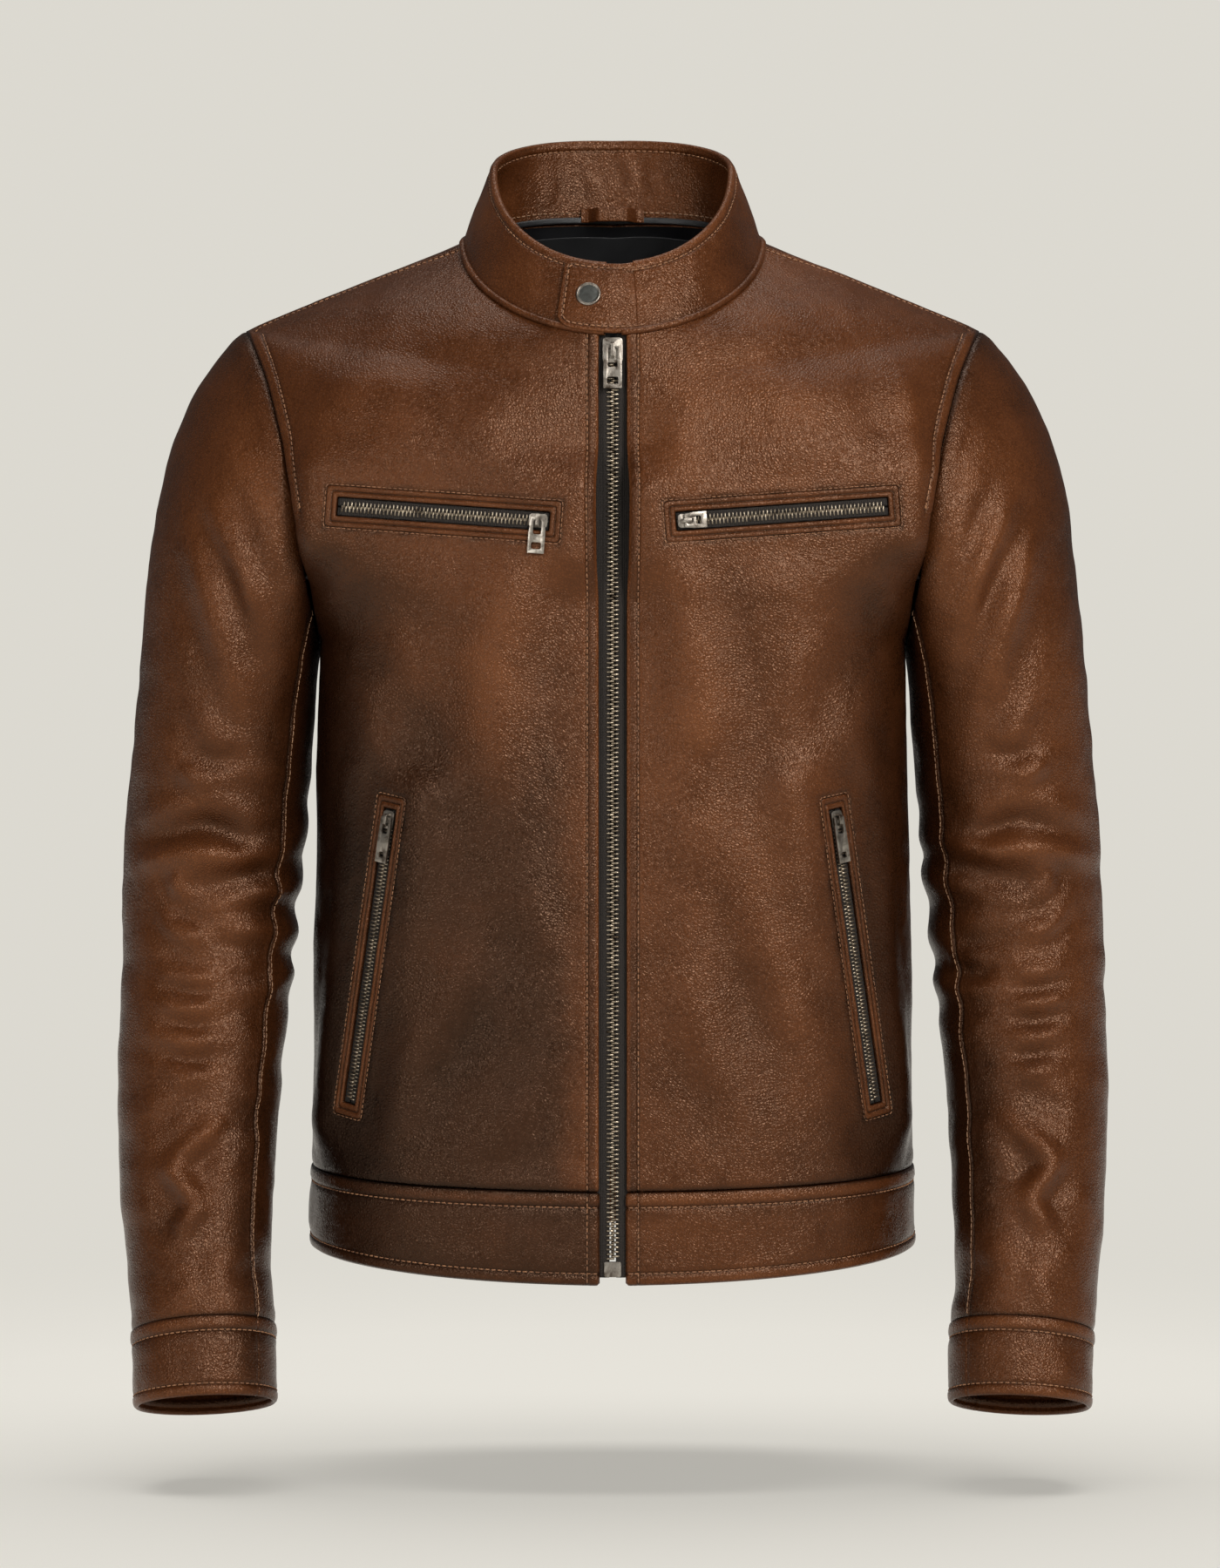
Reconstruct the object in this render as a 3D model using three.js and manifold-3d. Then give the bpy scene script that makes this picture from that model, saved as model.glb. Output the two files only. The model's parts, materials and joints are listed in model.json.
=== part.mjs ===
// Leather riding jacket in its worn shape, held up by its neck loop.
// Millimetres, +Z up, -Y is the front, +X is the wearer's left.
// The shape is worked out in the garment's own frame (hem at the centre front is z = 0) and the
// whole group is then moved so that the origin lies in the gap of the hanger loop.
import * as THREE from "three";
import { mergeVertices } from "three/addons/utils/BufferGeometryUtils.js";
import Module from "manifold-3d";

const wasm = await Module();
wasm.setup();
const V = (x, y, z) => new THREE.Vector3(x, y, z);

// ---------- Driving sizes ----------
// Body
const SIDE = 186; // half width at the side seam, waist level
const FRONT = 110; // centre front line in front of the side seams' plane, at the hem
const NECK_FRONT_Y = 92; // the same at the neck
const BACK = 104; // centre back behind that plane, at the hem
const SEAM_Y = 8; // side seams lie a little behind the middle
const ARMPIT_Z = 383;
const SHOULDER_Z = 579;
const SHOULDER_X = SIDE + 42;
const NECK_X = 93;
const NECK_SIDE_Z = 632;
const NECK_FRONT_Z = 566;
const NECK_BACK_Z = 652;
const NECK_BACK_Y = 70;
const BAND_H = 54; // waistband, at the centre front
// Collar
const RIM_X = 75;
const RIM_FRONT_Y = 77;
const RIM_FRONT_Z = 610;
const RIM_SIDE_Z = 680;
const RIM_BACK_Y = 67;
const RIM_BACK_Z = 704;
// Thicknesses
const LEATHER = 1.6;
const LINING = 0.6;
const BAG = 0.6;
const BAG_DEPTH = LEATHER + 3.1; // outer leather face to bag
const BODY_LINING_DEPTH = BAG_DEPTH + 2.5; // outer leather face to lining
const SLEEVE_LINING_DEPTH = LEATHER + 1;
const FACING = LINING + BODY_LINING_DEPTH; // depth of the folded waistband
const BAND_PROUD = 0.5;
// Clearances
const GAP = 0.35; // between two sewn pieces
const SEAM = 0.4 * LEATHER; // between two panels where their walls meet at an angle
const RUN = 0.35; // between a slider and its chain
// Front opening and main zip
const PLACKET_X = 8.2; // panel edge to the centre
const TAPE_HALF = 15;
const TAPE_THICK = 0.8;
const ZIP_DEPTH = LEATHER + 1.7; // chain's middle plane behind the leather's face
const ZIP_SINK = 1.5; // the same for the pockets' zips
// Sleeve
const CUFF_H = 46;

// ---------- Small helpers ----------
const ease = (x) => {
  const t = Math.min(1, Math.max(0, x));
  return t * t * (3 - 2 * t);
};
// A smooth line through points, run on straight past its ends.
function spline(points, closed = false) {
  const curve = new THREE.CatmullRomCurve3(points, closed, "catmullrom", 0.5);
  return (t) => {
    if (closed) return curve.getPoint(t - Math.floor(t));
    const inside = Math.min(1, Math.max(0, t));
    const p = curve.getPoint(inside);
    if (inside === t) return p;
    const back = curve.getPoint(inside === 1 ? 0.999 : 0.001);
    return p.addScaledVector(p.clone().sub(back), Math.abs(t - inside) / 0.001);
  };
}
const range = (a, b, n) => Array.from({ length: n + 1 }, (_, i) => a + ((b - a) * i) / n);
const bezier = (a, b, c, d, t) => {
  const k = 1 - t;
  return a
    .clone()
    .multiplyScalar(k * k * k)
    .addScaledVector(b, 3 * k * k * t)
    .addScaledVector(c, 3 * k * t * t)
    .addScaledVector(d, t * t * t);
};

// ---------- Body surface ----------
// Rows 0 to 10 run from the hem to the neck. Rows 0 to 4 end on the side seam, 4 to 8 on the
// armhole and 8 to 10 on the shoulder seam.
const ROWS = 10;
const ARMPIT_ROW = 4;
const SHOULDER_ROW = 8;

// The armhole, from the shoulder point round the front, the armpit and the back.
const AH = SHOULDER_Z - ARMPIT_Z;
const armhole = spline(
  [
    V(SHOULDER_X, SEAM_Y + 2, SHOULDER_Z),
    V(SHOULDER_X - 17, -44, SHOULDER_Z - 0.19 * AH),
    V(SHOULDER_X - 34, -70, SHOULDER_Z - 0.52 * AH),
    V(SIDE - 2, -50, ARMPIT_Z + 0.15 * AH),
    V(SIDE - 5, SEAM_Y, ARMPIT_Z),
    V(SIDE - 1, 62, ARMPIT_Z + 0.15 * AH),
    V(SHOULDER_X - 30, 84, SHOULDER_Z - 0.5 * AH),
    V(SHOULDER_X - 14, 58, SHOULDER_Z - 0.19 * AH),
  ],
  true,
);
const ARMHOLE_POINTS = 8;

const sideSeam = spline([
  V(SIDE + 1, SEAM_Y, 14),
  V(SIDE, SEAM_Y, BAND_H + 8),
  V(SIDE - 1, SEAM_Y, 0.47 * ARMPIT_Z),
  V(SIDE - 3, SEAM_Y, 0.78 * ARMPIT_Z),
  V(SIDE - 5, SEAM_Y, ARMPIT_Z),
]);
const shoulderSeam = spline([
  V(SHOULDER_X, SEAM_Y + 2, SHOULDER_Z),
  V((SHOULDER_X + NECK_X) / 2, SEAM_Y + 1, (SHOULDER_Z + NECK_SIDE_Z) / 2 + 1.5),
  V(NECK_X, SEAM_Y - 2, NECK_SIDE_Z),
]);
function edge(row, back) {
  if (row <= ARMPIT_ROW) return sideSeam(row / ARMPIT_ROW);
  if (row >= SHOULDER_ROW)
    return shoulderSeam((row - SHOULDER_ROW) / (ROWS - SHOULDER_ROW));
  const index = back ? row : 2 * ARMPIT_ROW - row;
  return armhole(index / ARMHOLE_POINTS);
}

// The centre front is one straight line, so that the zip's slider can run along it.
const frontY = (z) => -FRONT + ((FRONT - NECK_FRONT_Y) * z) / NECK_FRONT_Z;
const frontRowZ = [0, BAND_H, 175, 295, 388, 428, 478, 518, 540, 550, NECK_FRONT_Z];
const frontCentre = spline(frontRowZ.map((z) => V(0, frontY(z), z)));
const frontPull = spline([
  V(118, -FRONT, 1),
  V(118, -FRONT - 1, BAND_H + 1),
  V(118, -FRONT - 1, 177),
  V(116, -FRONT - 5, 297),
  V(108, -FRONT - 13, 390),
  V(100, -FRONT - 14, 430),
  V(92, -FRONT - 11, 481),
  V(86, -FRONT - 2, 521),
  V(82, -FRONT + 5, 544),
  V(72, -FRONT + 9, 555),
  V(50, -NECK_FRONT_Y - 1, NECK_FRONT_Z + 1),
]);
const frontTurn = spline([
  V(SIDE + 1, -76, 12),
  V(SIDE, -77, BAND_H + 6),
  V(SIDE - 1, -77, 179),
  V(SIDE - 3, -80, 298),
  V(SIDE - 3, -86, 388),
  V(SIDE - 12, -92, 420),
  V(SIDE - 22, -98, 479),
  V(SIDE - 14, -84, 536),
  V(SIDE + 14, -42, 571),
  V((SHOULDER_X + NECK_X) / 2 - 12, -44, 594),
  V(NECK_X - 2, -52, 596),
]);
const backCentre = spline([
  V(0, BACK, 16),
  V(0, BACK, BAND_H + 8),
  V(0, BACK - 6, 185),
  V(0, BACK, 300),
  V(0, BACK + 10, 395),
  V(0, BACK + 13, 435),
  V(0, BACK + 13, 492),
  V(0, BACK + 7, 552),
  V(0, BACK - 5, 598),
  V(0, BACK - 19, 630),
  V(0, NECK_BACK_Y, NECK_BACK_Z),
]);
const backPull = spline([
  V(118, BACK, 16),
  V(118, BACK, BAND_H + 8),
  V(118, BACK - 6, 185),
  V(116, BACK, 300),
  V(108, BACK + 12, 393),
  V(102, BACK + 16, 433),
  V(94, BACK + 17, 491),
  V(90, BACK + 10, 553),
  V(80, BACK - 3, 600),
  V(70, BACK - 18, 633),
  V(50, NECK_BACK_Y, NECK_BACK_Z + 3),
]);
const backTurn = spline([
  V(SIDE + 1, 82, 15),
  V(SIDE, 82, BAND_H + 8),
  V(SIDE - 1, 80, 180),
  V(SIDE - 3, 86, 300),
  V(SIDE - 3, 96, 388),
  V(SIDE - 12, 104, 420),
  V(SIDE - 22, 114, 485),
  V(SIDE - 14, 98, 547),
  V(SIDE + 12, 52, 588),
  V((SHOULDER_X + NECK_X) / 2 - 10, 48, 613),
  V(NECK_X - 2, 45, 645),
]);
const frontRaw = (row, t) =>
  bezier(
    frontCentre(row / ROWS),
    frontPull(row / ROWS),
    frontTurn(row / ROWS),
    edge(row, false),
    t,
  );
const backSurface = (row, t) =>
  bezier(
    backCentre(row / ROWS),
    backPull(row / ROWS),
    backTurn(row / ROWS),
    edge(row, true),
    t,
  );

// The row and share along it where the front has the given x and z.
function frontParameters(x, z) {
  let row = (ROWS * z) / NECK_FRONT_Z;
  let t = 0.4;
  const step = 1e-3;
  for (let i = 0; i < 30; i++) {
    const p = frontRaw(row, t);
    const pr = frontRaw(row + step, t).sub(p).divideScalar(step);
    const pt = frontRaw(row, t + step).sub(p).divideScalar(step);
    const det = pr.x * pt.z - pr.z * pt.x;
    const dx = x - p.x;
    const dz = z - p.z;
    row = Math.min(ROWS - 0.1, Math.max(0, row + (dx * pt.z - dz * pt.x) / det));
    t = Math.min(1, Math.max(0, t + (pr.x * dz - pr.z * dx) / det));
  }
  return [row, t];
}

// ---------- Pockets ----------
// A pocket zip lies on a straight line of the front, from start to end. The leather round it is
// flat, so the welt and the chain are flat too. u runs along the chain, n points out.
const POCKETS = {
  chest: { start: [37, 453], end: [164, 463], welt: 25, window: 11, margin: 7 },
  hand: { start: [133, 282], end: [159, 104], welt: 21, window: 9.5, margin: 8 },
};
const FLAT_MARGIN = 5;
const FLAT_FADE = 34;
for (const pocket of Object.values(POCKETS)) {
  const [a, b] = [pocket.start, pocket.end].map(([x, z]) => frontRaw(...frontParameters(x, z)));
  const [row, t] = frontParameters((a.x + b.x) / 2, (a.z + b.z) / 2);
  const middle = frontRaw(row, t);
  const step = 1e-2;
  const along = frontRaw(row, t + step).sub(frontRaw(row, t - step));
  const up = frontRaw(row + step, t).sub(frontRaw(row - step, t));
  const u = b.clone().sub(a).normalize();
  const n = along.cross(up).normalize();
  n.addScaledVector(u, -n.dot(u)).normalize();
  // The flat lies between the chord and the crown of the raw surface.
  const rise = middle.sub(a).dot(n) * 0.6;
  pocket.origin = a.clone().addScaledVector(n, rise - ZIP_SINK);
  pocket.u = u;
  pocket.n = n;
  pocket.v = n.clone().cross(u);
  pocket.length = a.distanceTo(b);
}
function frontSurface(row, t) {
  const p = frontRaw(row, t);
  for (const { origin, u, v, n, length, welt, margin } of Object.values(POCKETS)) {
    const q = p.clone().sub(origin);
    const height = q.dot(n) - ZIP_SINK;
    if (Math.abs(height) > FLAT_FADE) continue;
    const half = length / 2;
    const du = Math.max(0, Math.abs(q.dot(u) - half) - half - margin - FLAT_MARGIN);
    const dv = Math.max(0, Math.abs(q.dot(v)) - welt / 2 - FLAT_MARGIN);
    p.addScaledVector(n, -height * ease(1 - Math.hypot(du, dv) / FLAT_FADE));
  }
  return p;
}

// ---------- Collar surface ----------
// Quarter 0 is the left front, 1 the left back, 2 the right back and 3 the right front.
const quarter = (front) => (t, h) => {
  const neck = front ? frontSurface(ROWS, t) : backSurface(ROWS, t);
  const rim = front
    ? bezier(
        V(0, -RIM_FRONT_Y, RIM_FRONT_Z),
        V(41, -RIM_FRONT_Y - 2, RIM_FRONT_Z),
        V(RIM_X, -50, RIM_SIDE_Z - 42),
        V(RIM_X, SEAM_Y - 3, RIM_SIDE_Z),
        t,
      )
    : bezier(
        V(0, RIM_BACK_Y, RIM_BACK_Z),
        V(40, RIM_BACK_Y, RIM_BACK_Z + 1),
        V(RIM_X, 45, RIM_SIDE_Z + 18),
        V(RIM_X, SEAM_Y - 3, RIM_SIDE_Z),
        t,
      );
  return neck.lerp(rim, h);
};
function collarSurface(turn, h) {
  const w = ((turn % 4) + 4) % 4;
  const share = w % 1;
  const right = w >= 2;
  const front = w < 1 || w >= 3;
  const t = w < 1 || (w >= 2 && w < 3) ? share : 1 - share;
  const p = quarter(front)(t, h);
  if (right) p.x = -p.x;
  return p;
}

// ---------- Sleeve surface ----------
// Stations of the left sleeve below the armpit: centre, half width and half depth.
const stations = [
  { c: V(SIDE + 54.5, 8, 335), w: 55, d: 64 },
  { c: V(SIDE + 61, 10, 268), w: 55.5, d: 61 },
  { c: V(SIDE + 65, 7, 205), w: 53.5, d: 57 },
  { c: V(SIDE + 68, -7, 137), w: 51, d: 53 },
  { c: V(SIDE + 69, -26, 68), w: 48, d: 49 },
  { c: V(SIDE + 65.5, -46, 0), w: 44, d: 45 },
  { c: V(SIDE + 62, -57, -33), w: 43, d: 43 },
  { c: V(SIDE + 59.5, -70, -77), w: 42.5, d: 41.5 },
];
const LAST = stations.length - 1;
const sleeveLine = spline(stations.map((s) => s.c));
const sleeveSize = spline(stations.map((s) => V(s.w, s.d, 0)));
function sleeveFrame(k) {
  const c = sleeveLine(k / LAST);
  const down = sleeveLine(k / LAST + 1e-3).sub(sleeveLine(k / LAST - 1e-3)).normalize();
  const out = V(1, 0, 0);
  out.addScaledVector(down, -out.dot(down)).normalize();
  return { c, down, out, fore: down.clone().cross(out) };
}
// angle 0 is the outer side, a quarter turn on is the front.
function sleeveRing(k, angle) {
  const { c, out, fore } = sleeveFrame(k);
  const size = sleeveSize(k / LAST);
  return c
    .clone()
    .addScaledVector(out, Math.cos(angle) * size.x)
    .addScaledVector(fore, Math.sin(angle) * size.y);
}
const CROWN = 1; // the sleeve's first unit of length is its cap, from the armhole to station 0
function sleeveSurface(k, angle) {
  if (k >= CROWN) return sleeveRing(k - CROWN, angle);
  const turn = ((angle / (2 * Math.PI)) % 1 + 1) % 1;
  const a = armhole(turn);
  const b = sleeveRing(0, angle);
  const length = a.distanceTo(b);
  const top = Math.cos(angle) * 0.5 + 0.5;
  const leave = V(0.22 + 0.6 * top, 0, -0.98 + 0.3 * top);
  leave.y = -0.1 * Math.sin(angle);
  leave.normalize().multiplyScalar(length);
  const arrive = sleeveFrame(0).down.clone().multiplyScalar(length);
  const s = k / CROWN;
  const s2 = s * s;
  const s3 = s2 * s;
  return a
    .multiplyScalar(2 * s3 - 3 * s2 + 1)
    .addScaledVector(leave, s3 - 2 * s2 + s)
    .addScaledVector(b, -2 * s3 + 3 * s2)
    .addScaledVector(arrive, s3 - s2);
}

// ---------- Solids ----------
function geometryOf(solid) {
  const { vertProperties, triVerts, numProp } = solid.getMesh();
  const position = new Float32Array((vertProperties.length / numProp) * 3);
  for (let i = 0; i < position.length / 3; i++)
    position.set(vertProperties.subarray(i * numProp, i * numProp + 3), i * 3);
  return new THREE.BufferGeometry()
    .setAttribute("position", new THREE.BufferAttribute(position, 3))
    .setIndex(new THREE.BufferAttribute(new Uint32Array(triVerts), 1));
}
function solidOf(geometry) {
  const bare = geometry.clone();
  bare.deleteAttribute("normal");
  bare.deleteAttribute("uv");
  const { attributes, index } = mergeVertices(bare, 1e-4);
  return new wasm.Manifold(
    new wasm.Mesh({
      numProp: 3,
      vertProperties: attributes.position.array,
      triVerts: new Uint32Array(index.array),
    }),
  );
}
const box = (x0, x1, y0, y1, z0, z1) =>
  new THREE.BoxGeometry(x1 - x0, y1 - y0, z1 - z0).translate(
    (x0 + x1) / 2,
    (y0 + y1) / 2,
    (z0 + z1) / 2,
  );
const join = (...parts) => geometryOf(parts.map(solidOf).reduce((a, b) => a.add(b)));
const cut = (base, ...tools) =>
  geometryOf(tools.map(solidOf).reduce((a, b) => a.subtract(b), solidOf(base)));
const slab = (shape, depth, z) =>
  new THREE.ExtrudeGeometry(shape, { depth, bevelEnabled: false, curveSegments: 3 }).translate(0, 0, z);
function roundedRect(x0, x1, y0, y1, r) {
  const s = new THREE.Shape();
  s.moveTo(x0 + r, y0);
  s.lineTo(x1 - r, y0);
  s.absarc(x1 - r, y0 + r, r, -Math.PI / 2, 0);
  s.lineTo(x1, y1 - r);
  s.absarc(x1 - r, y1 - r, r, 0, Math.PI / 2);
  s.lineTo(x0 + r, y1);
  s.absarc(x0 + r, y1 - r, r, Math.PI / 2, Math.PI);
  s.lineTo(x0, y0 + r);
  s.absarc(x0 + r, y0 + r, r, Math.PI, 1.5 * Math.PI);
  return s;
}
const disc = (r, z0, z1, sides = 16) =>
  new THREE.CylinderGeometry(r, r, z1 - z0, sides)
    .rotateX(Math.PI / 2)
    .translate(0, 0, (z0 + z1) / 2);

// A shell between two offsets from a surface. surface(a, b) gives points, hub(a, point) a point
// inside, and outer and inner are distances out of the surface.
function shell(surface, as, bs, outer, inner, { wrap = false, hub, mirror = false } = {}) {
  const step = 1e-3;
  const place = (a, b, offset) => {
    const p = surface(a, b);
    const da = surface(a + step, b).sub(surface(a - step, b));
    const db = surface(a, b + step).sub(surface(a, b - step));
    const n = da.cross(db).normalize();
    if (n.dot(p.clone().sub(hub(a, p))) < 0) n.negate();
    p.addScaledVector(n, offset);
    if (mirror) p.x = -p.x;
    return p;
  };
  const position = [];
  for (const offset of [outer, inner])
    for (const a of as) for (const b of bs) position.push(...place(a, b, offset).toArray());
  const rows = as.length;
  const columns = bs.length;
  const at = (side, i, j) => (side * rows + i) * columns + (j % columns);
  const index = [];
  const quad = (p, q, r, s) => index.push(p, q, r, p, r, s);
  const last = wrap ? columns : columns - 1;
  for (let i = 0; i < rows - 1; i++)
    for (let j = 0; j < last; j++) {
      quad(at(0, i, j), at(0, i, j + 1), at(0, i + 1, j + 1), at(0, i + 1, j));
      quad(at(1, i, j), at(1, i + 1, j), at(1, i + 1, j + 1), at(1, i, j + 1));
    }
  for (let j = 0; j < last; j++) {
    quad(at(0, 0, j), at(1, 0, j), at(1, 0, j + 1), at(0, 0, j + 1));
    quad(at(0, rows - 1, j), at(0, rows - 1, j + 1), at(1, rows - 1, j + 1), at(1, rows - 1, j));
  }
  if (!wrap)
    for (let i = 0; i < rows - 1; i++) {
      quad(at(0, i, 0), at(0, i + 1, 0), at(1, i + 1, 0), at(1, i, 0));
      quad(at(0, i, last), at(1, i, last), at(1, i + 1, last), at(0, i + 1, last));
    }
  const geometry = new THREE.BufferGeometry()
    .setAttribute("position", new THREE.Float32BufferAttribute(position, 3))
    .setIndex(index);
  if (solidOf(geometry).volume() < 0) {
    for (let i = 0; i < index.length; i += 3) [index[i], index[i + 1]] = [index[i + 1], index[i]];
    geometry.setIndex(index);
  }
  return geometry;
}
const bodyHub = (a, p) => V(0, 0, p.z - 60);
const collarHub = (a, p) => V(0, 0, p.z);
const sleeveHub = (k) =>
  k < CROWN ? V(SIDE + 9, SEAM_Y, ARMPIT_Z + 57).lerp(stations[0].c, k) : sleeveFrame(k - CROWN).c;

// ---------- Materials ----------
const material = (color, roughness, metalness = 0) =>
  new THREE.MeshStandardMaterial({ color, roughness, metalness });
const leather = material(0x5a3018, 0.42);
const satin = material(0x14161a, 0.55);
const tapeCloth = material(0x17130f, 0.85);
const nickel = material(0x8d857a, 0.35, 1);
const brass = material(0x8a7a5c, 0.4, 1);

const garment = new THREE.Group();
const add = (name, geometry, mat, parent = garment) => {
  const mesh = new THREE.Mesh(geometry, mat);
  mesh.name = name;
  parent.add(mesh);
  return mesh;
};

const SIDES = [
  ["left", false],
  ["right", true],
];

// ---------- Main zip's line ----------
const ZIP_BOTTOM_Z = 4;
const zipTop = V(0, frontY(NECK_FRONT_Z), NECK_FRONT_Z);
const zipDown = V(0, frontY(ZIP_BOTTOM_Z), ZIP_BOTTOM_Z).sub(zipTop);
const ZIP_LENGTH = zipDown.length();
zipDown.normalize();
const zipOut = zipDown.clone().cross(V(1, 0, 0));
zipTop.addScaledVector(zipOut, -ZIP_DEPTH);
const zipPlace = new THREE.Matrix4().makeBasis(zipDown, V(1, 0, 0), zipOut).setPosition(zipTop);
const tapeSlot = box(
  0,
  ZIP_LENGTH + 20,
  -TAPE_HALF - GAP,
  TAPE_HALF + GAP,
  -TAPE_THICK / 2 - GAP,
  TAPE_THICK / 2 + GAP,
).applyMatrix4(zipPlace);

// ---------- Body panels, waistband and lining ----------
const bandTop = 1; // row of the waistband's seam
const rowGap = GAP / (frontRowZ[2] - frontRowZ[1]);
const ahead = (z) => {
  const p = frontPull(z / ROWS);
  return PLACKET_X / (3 * p.x);
};
const bodyRows = [...range(bandTop + rowGap, 4, 6), ...range(4.5, 8, 7), ...range(9, ROWS, 1)];
const liningRows = [...bodyRows.slice(0, -1), ROWS - 0.15];
const acrossHalf = range(0, 1, 8);
const pocketPlace = ({ origin, u, v, n }, mirror) => {
  const m = new THREE.Matrix4().makeBasis(u, v, n).setPosition(origin);
  return mirror ? new THREE.Matrix4().makeScale(-1, 1, 1).multiply(m) : m;
};
// A share along a front row: 0 is the placket's edge, 1 the side.
const fromPlacket = (inset) => (row, share) => {
  const start = ahead(row) * inset;
  return frontSurface(row, start + (1 - start) * share);
};
const SEAM_SHARE = 1 - SEAM / 2 / 160; // leaves half a seam gap at the side
for (const [side, mirror] of SIDES) {
  const options = { hub: bodyHub, mirror };
  const ends = acrossHalf.map((t) => t * SEAM_SHARE);
  let panel = shell(fromPlacket(1), bodyRows, ends, 0, -LEATHER, options);
  const windows = Object.values(POCKETS).map((pocket) =>
    box(
      -pocket.margin - GAP,
      pocket.length + pocket.margin + GAP,
      -pocket.welt / 2 - GAP,
      pocket.welt / 2 + GAP,
      -12,
      12,
    ).applyMatrix4(pocketPlace(pocket, false)),
  );
  if (mirror)
    windows.forEach((w) => {
      w.scale(-1, 1, 1);
      const i = w.index.array;
      for (let k = 0; k < i.length; k += 3) [i[k], i[k + 1]] = [i[k + 1], i[k]];
    });
  panel = cut(panel, ...windows);
  add(`front_panel_${side}`, panel, leather);
  const bandRows = range(0, bandTop, 2);
  add(
    `waistband_front_${side}`,
    cut(shell(fromPlacket(1), bandRows, ends, BAND_PROUD, -FACING, options), tapeSlot),
    leather,
  );
  // The lining starts behind the zip's tape and ends short of the sleeve and the collar.
  add(
    `lining_front_${side}`,
    shell(
      fromPlacket(2.3),
      liningRows,
      range(0, 0.99, 7),
      -BODY_LINING_DEPTH,
      -BODY_LINING_DEPTH - LINING,
      options,
    ),
    satin,
  );
}
const acrossBack = range(-1, 1, 14);
const wholeBack = (row, w) => {
  const p = backSurface(row, Math.abs(w) * SEAM_SHARE);
  if (w < 0) p.x = -p.x;
  return p;
};
const backOptions = { hub: bodyHub };
add(
  "back_panel",
  shell(wholeBack, bodyRows, acrossBack, 0, -LEATHER, backOptions),
  leather,
);
add(
  "waistband_back",
  shell(wholeBack, range(0, bandTop, 2), acrossBack, BAND_PROUD, -FACING, backOptions),
  leather,
);
add(
  "lining_back",
  shell(
    wholeBack,
    liningRows,
    range(-0.99, 0.99, 10),
    -BODY_LINING_DEPTH,
    -BODY_LINING_DEPTH - LINING,
    backOptions,
  ),
  satin,
);

// ---------- Collar, its facing and the hanger loop ----------
// The left end of the collar runs on past the centre front as a tab.
const TAB_ROOT = 0.1; // turns from the centre front
const TAB_END = -0.24;
const COLLAR_END = 3.97; // the right end stops at the zip
const collarStep = GAP / 300;
const collarTurns = range(TAB_ROOT + collarStep, COLLAR_END, 24);
const collarOptions = { hub: collarHub };
add(
  "collar_shell",
  shell(collarSurface, collarTurns, [0.03, 0.5, 1], 0, -LEATHER, collarOptions),
  leather,
);
const FACING_DEPTH = LEATHER + GAP;
add(
  "collar_facing",
  shell(
    collarSurface,
    collarTurns,
    [0.1, 0.5, 1],
    -FACING_DEPTH,
    -FACING_DEPTH - LEATHER,
    collarOptions,
  ),
  leather,
);

const LOOP_HALF = 20;
const LOOP_H = 9;
const LOOP_BULGE = 7.5; // clear depth behind the loop for a hook
const LOOP_STRAP = 1.4;
const LOOP_FOOT = 5;
const LOOP_SLOPE = 6;
const facingFoot = collarSurface(2, 0.1);
const LOOP_Z = facingFoot.z + LOOP_H - 4;
const LOOP_SEAT = 0.9; // room for the collar's lean and curve behind the loop's feet
const loopSeatY = collarSurface(1.88, 0.2).y - FACING_DEPTH - LEATHER - GAP - LOOP_SEAT;
const loopPlan = [
  [-LOOP_HALF, 0],
  [-LOOP_HALF + LOOP_FOOT, 0],
  [-LOOP_HALF + LOOP_FOOT + LOOP_SLOPE, -LOOP_BULGE],
  [LOOP_HALF - LOOP_FOOT - LOOP_SLOPE, -LOOP_BULGE],
  [LOOP_HALF - LOOP_FOOT, 0],
  [LOOP_HALF, 0],
];
const loopOutline = new THREE.Shape();
loopPlan.forEach(([x, y], i) => loopOutline[i ? "lineTo" : "moveTo"](x, y));
[...loopPlan].reverse().forEach(([x, y]) => loopOutline.lineTo(x, y - LOOP_STRAP));
add(
  "hanger_loop",
  slab(loopOutline, LOOP_H, 0).translate(0, loopSeatY, LOOP_Z - LOOP_H),
  leather,
);

// ---------- Collar tab and snap ----------
// The tab starts level with the collar and rises over the right collar's end.
const TAB = 2.6;
const TAB_CLEAR = 0.9; // tab over the right end
const TAB_RISE = TAB + TAB_CLEAR;
const tabSurface = (turn, h) => {
  const p = collarSurface(turn, h);
  const out = V(p.x * 0.4, -RIM_FRONT_Y, 0).normalize();
  return p.addScaledVector(out, TAB_RISE * ease((TAB_ROOT - turn) / (TAB_ROOT + 0.02)));
};
const SNAP_TURN = -0.106;
const SNAP_H = 0.5;
const snapPoint = collarSurface(SNAP_TURN, SNAP_H);
const snapU = collarSurface(SNAP_TURN + 0.01, SNAP_H).sub(collarSurface(SNAP_TURN - 0.01, SNAP_H));
const snapV = collarSurface(SNAP_TURN, SNAP_H + 0.01).sub(collarSurface(SNAP_TURN, SNAP_H - 0.01));
const snapN = snapU.cross(snapV).normalize();
if (snapN.y > 0) snapN.negate();
const snapPlace = new THREE.Matrix4()
  .makeRotationFromQuaternion(new THREE.Quaternion().setFromUnitVectors(V(0, 0, 1), snapN))
  .setPosition(snapPoint);
const CAP_R = 7.5;
const CAP = 1.6;
const SOCKET_R = 4.2;
const SOCKET_BORE = 2.6;
const SOCKET_ROOF = 0.7;
const STUD_R = 2.2;
const STUD_FLANGE = 0.4;
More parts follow.
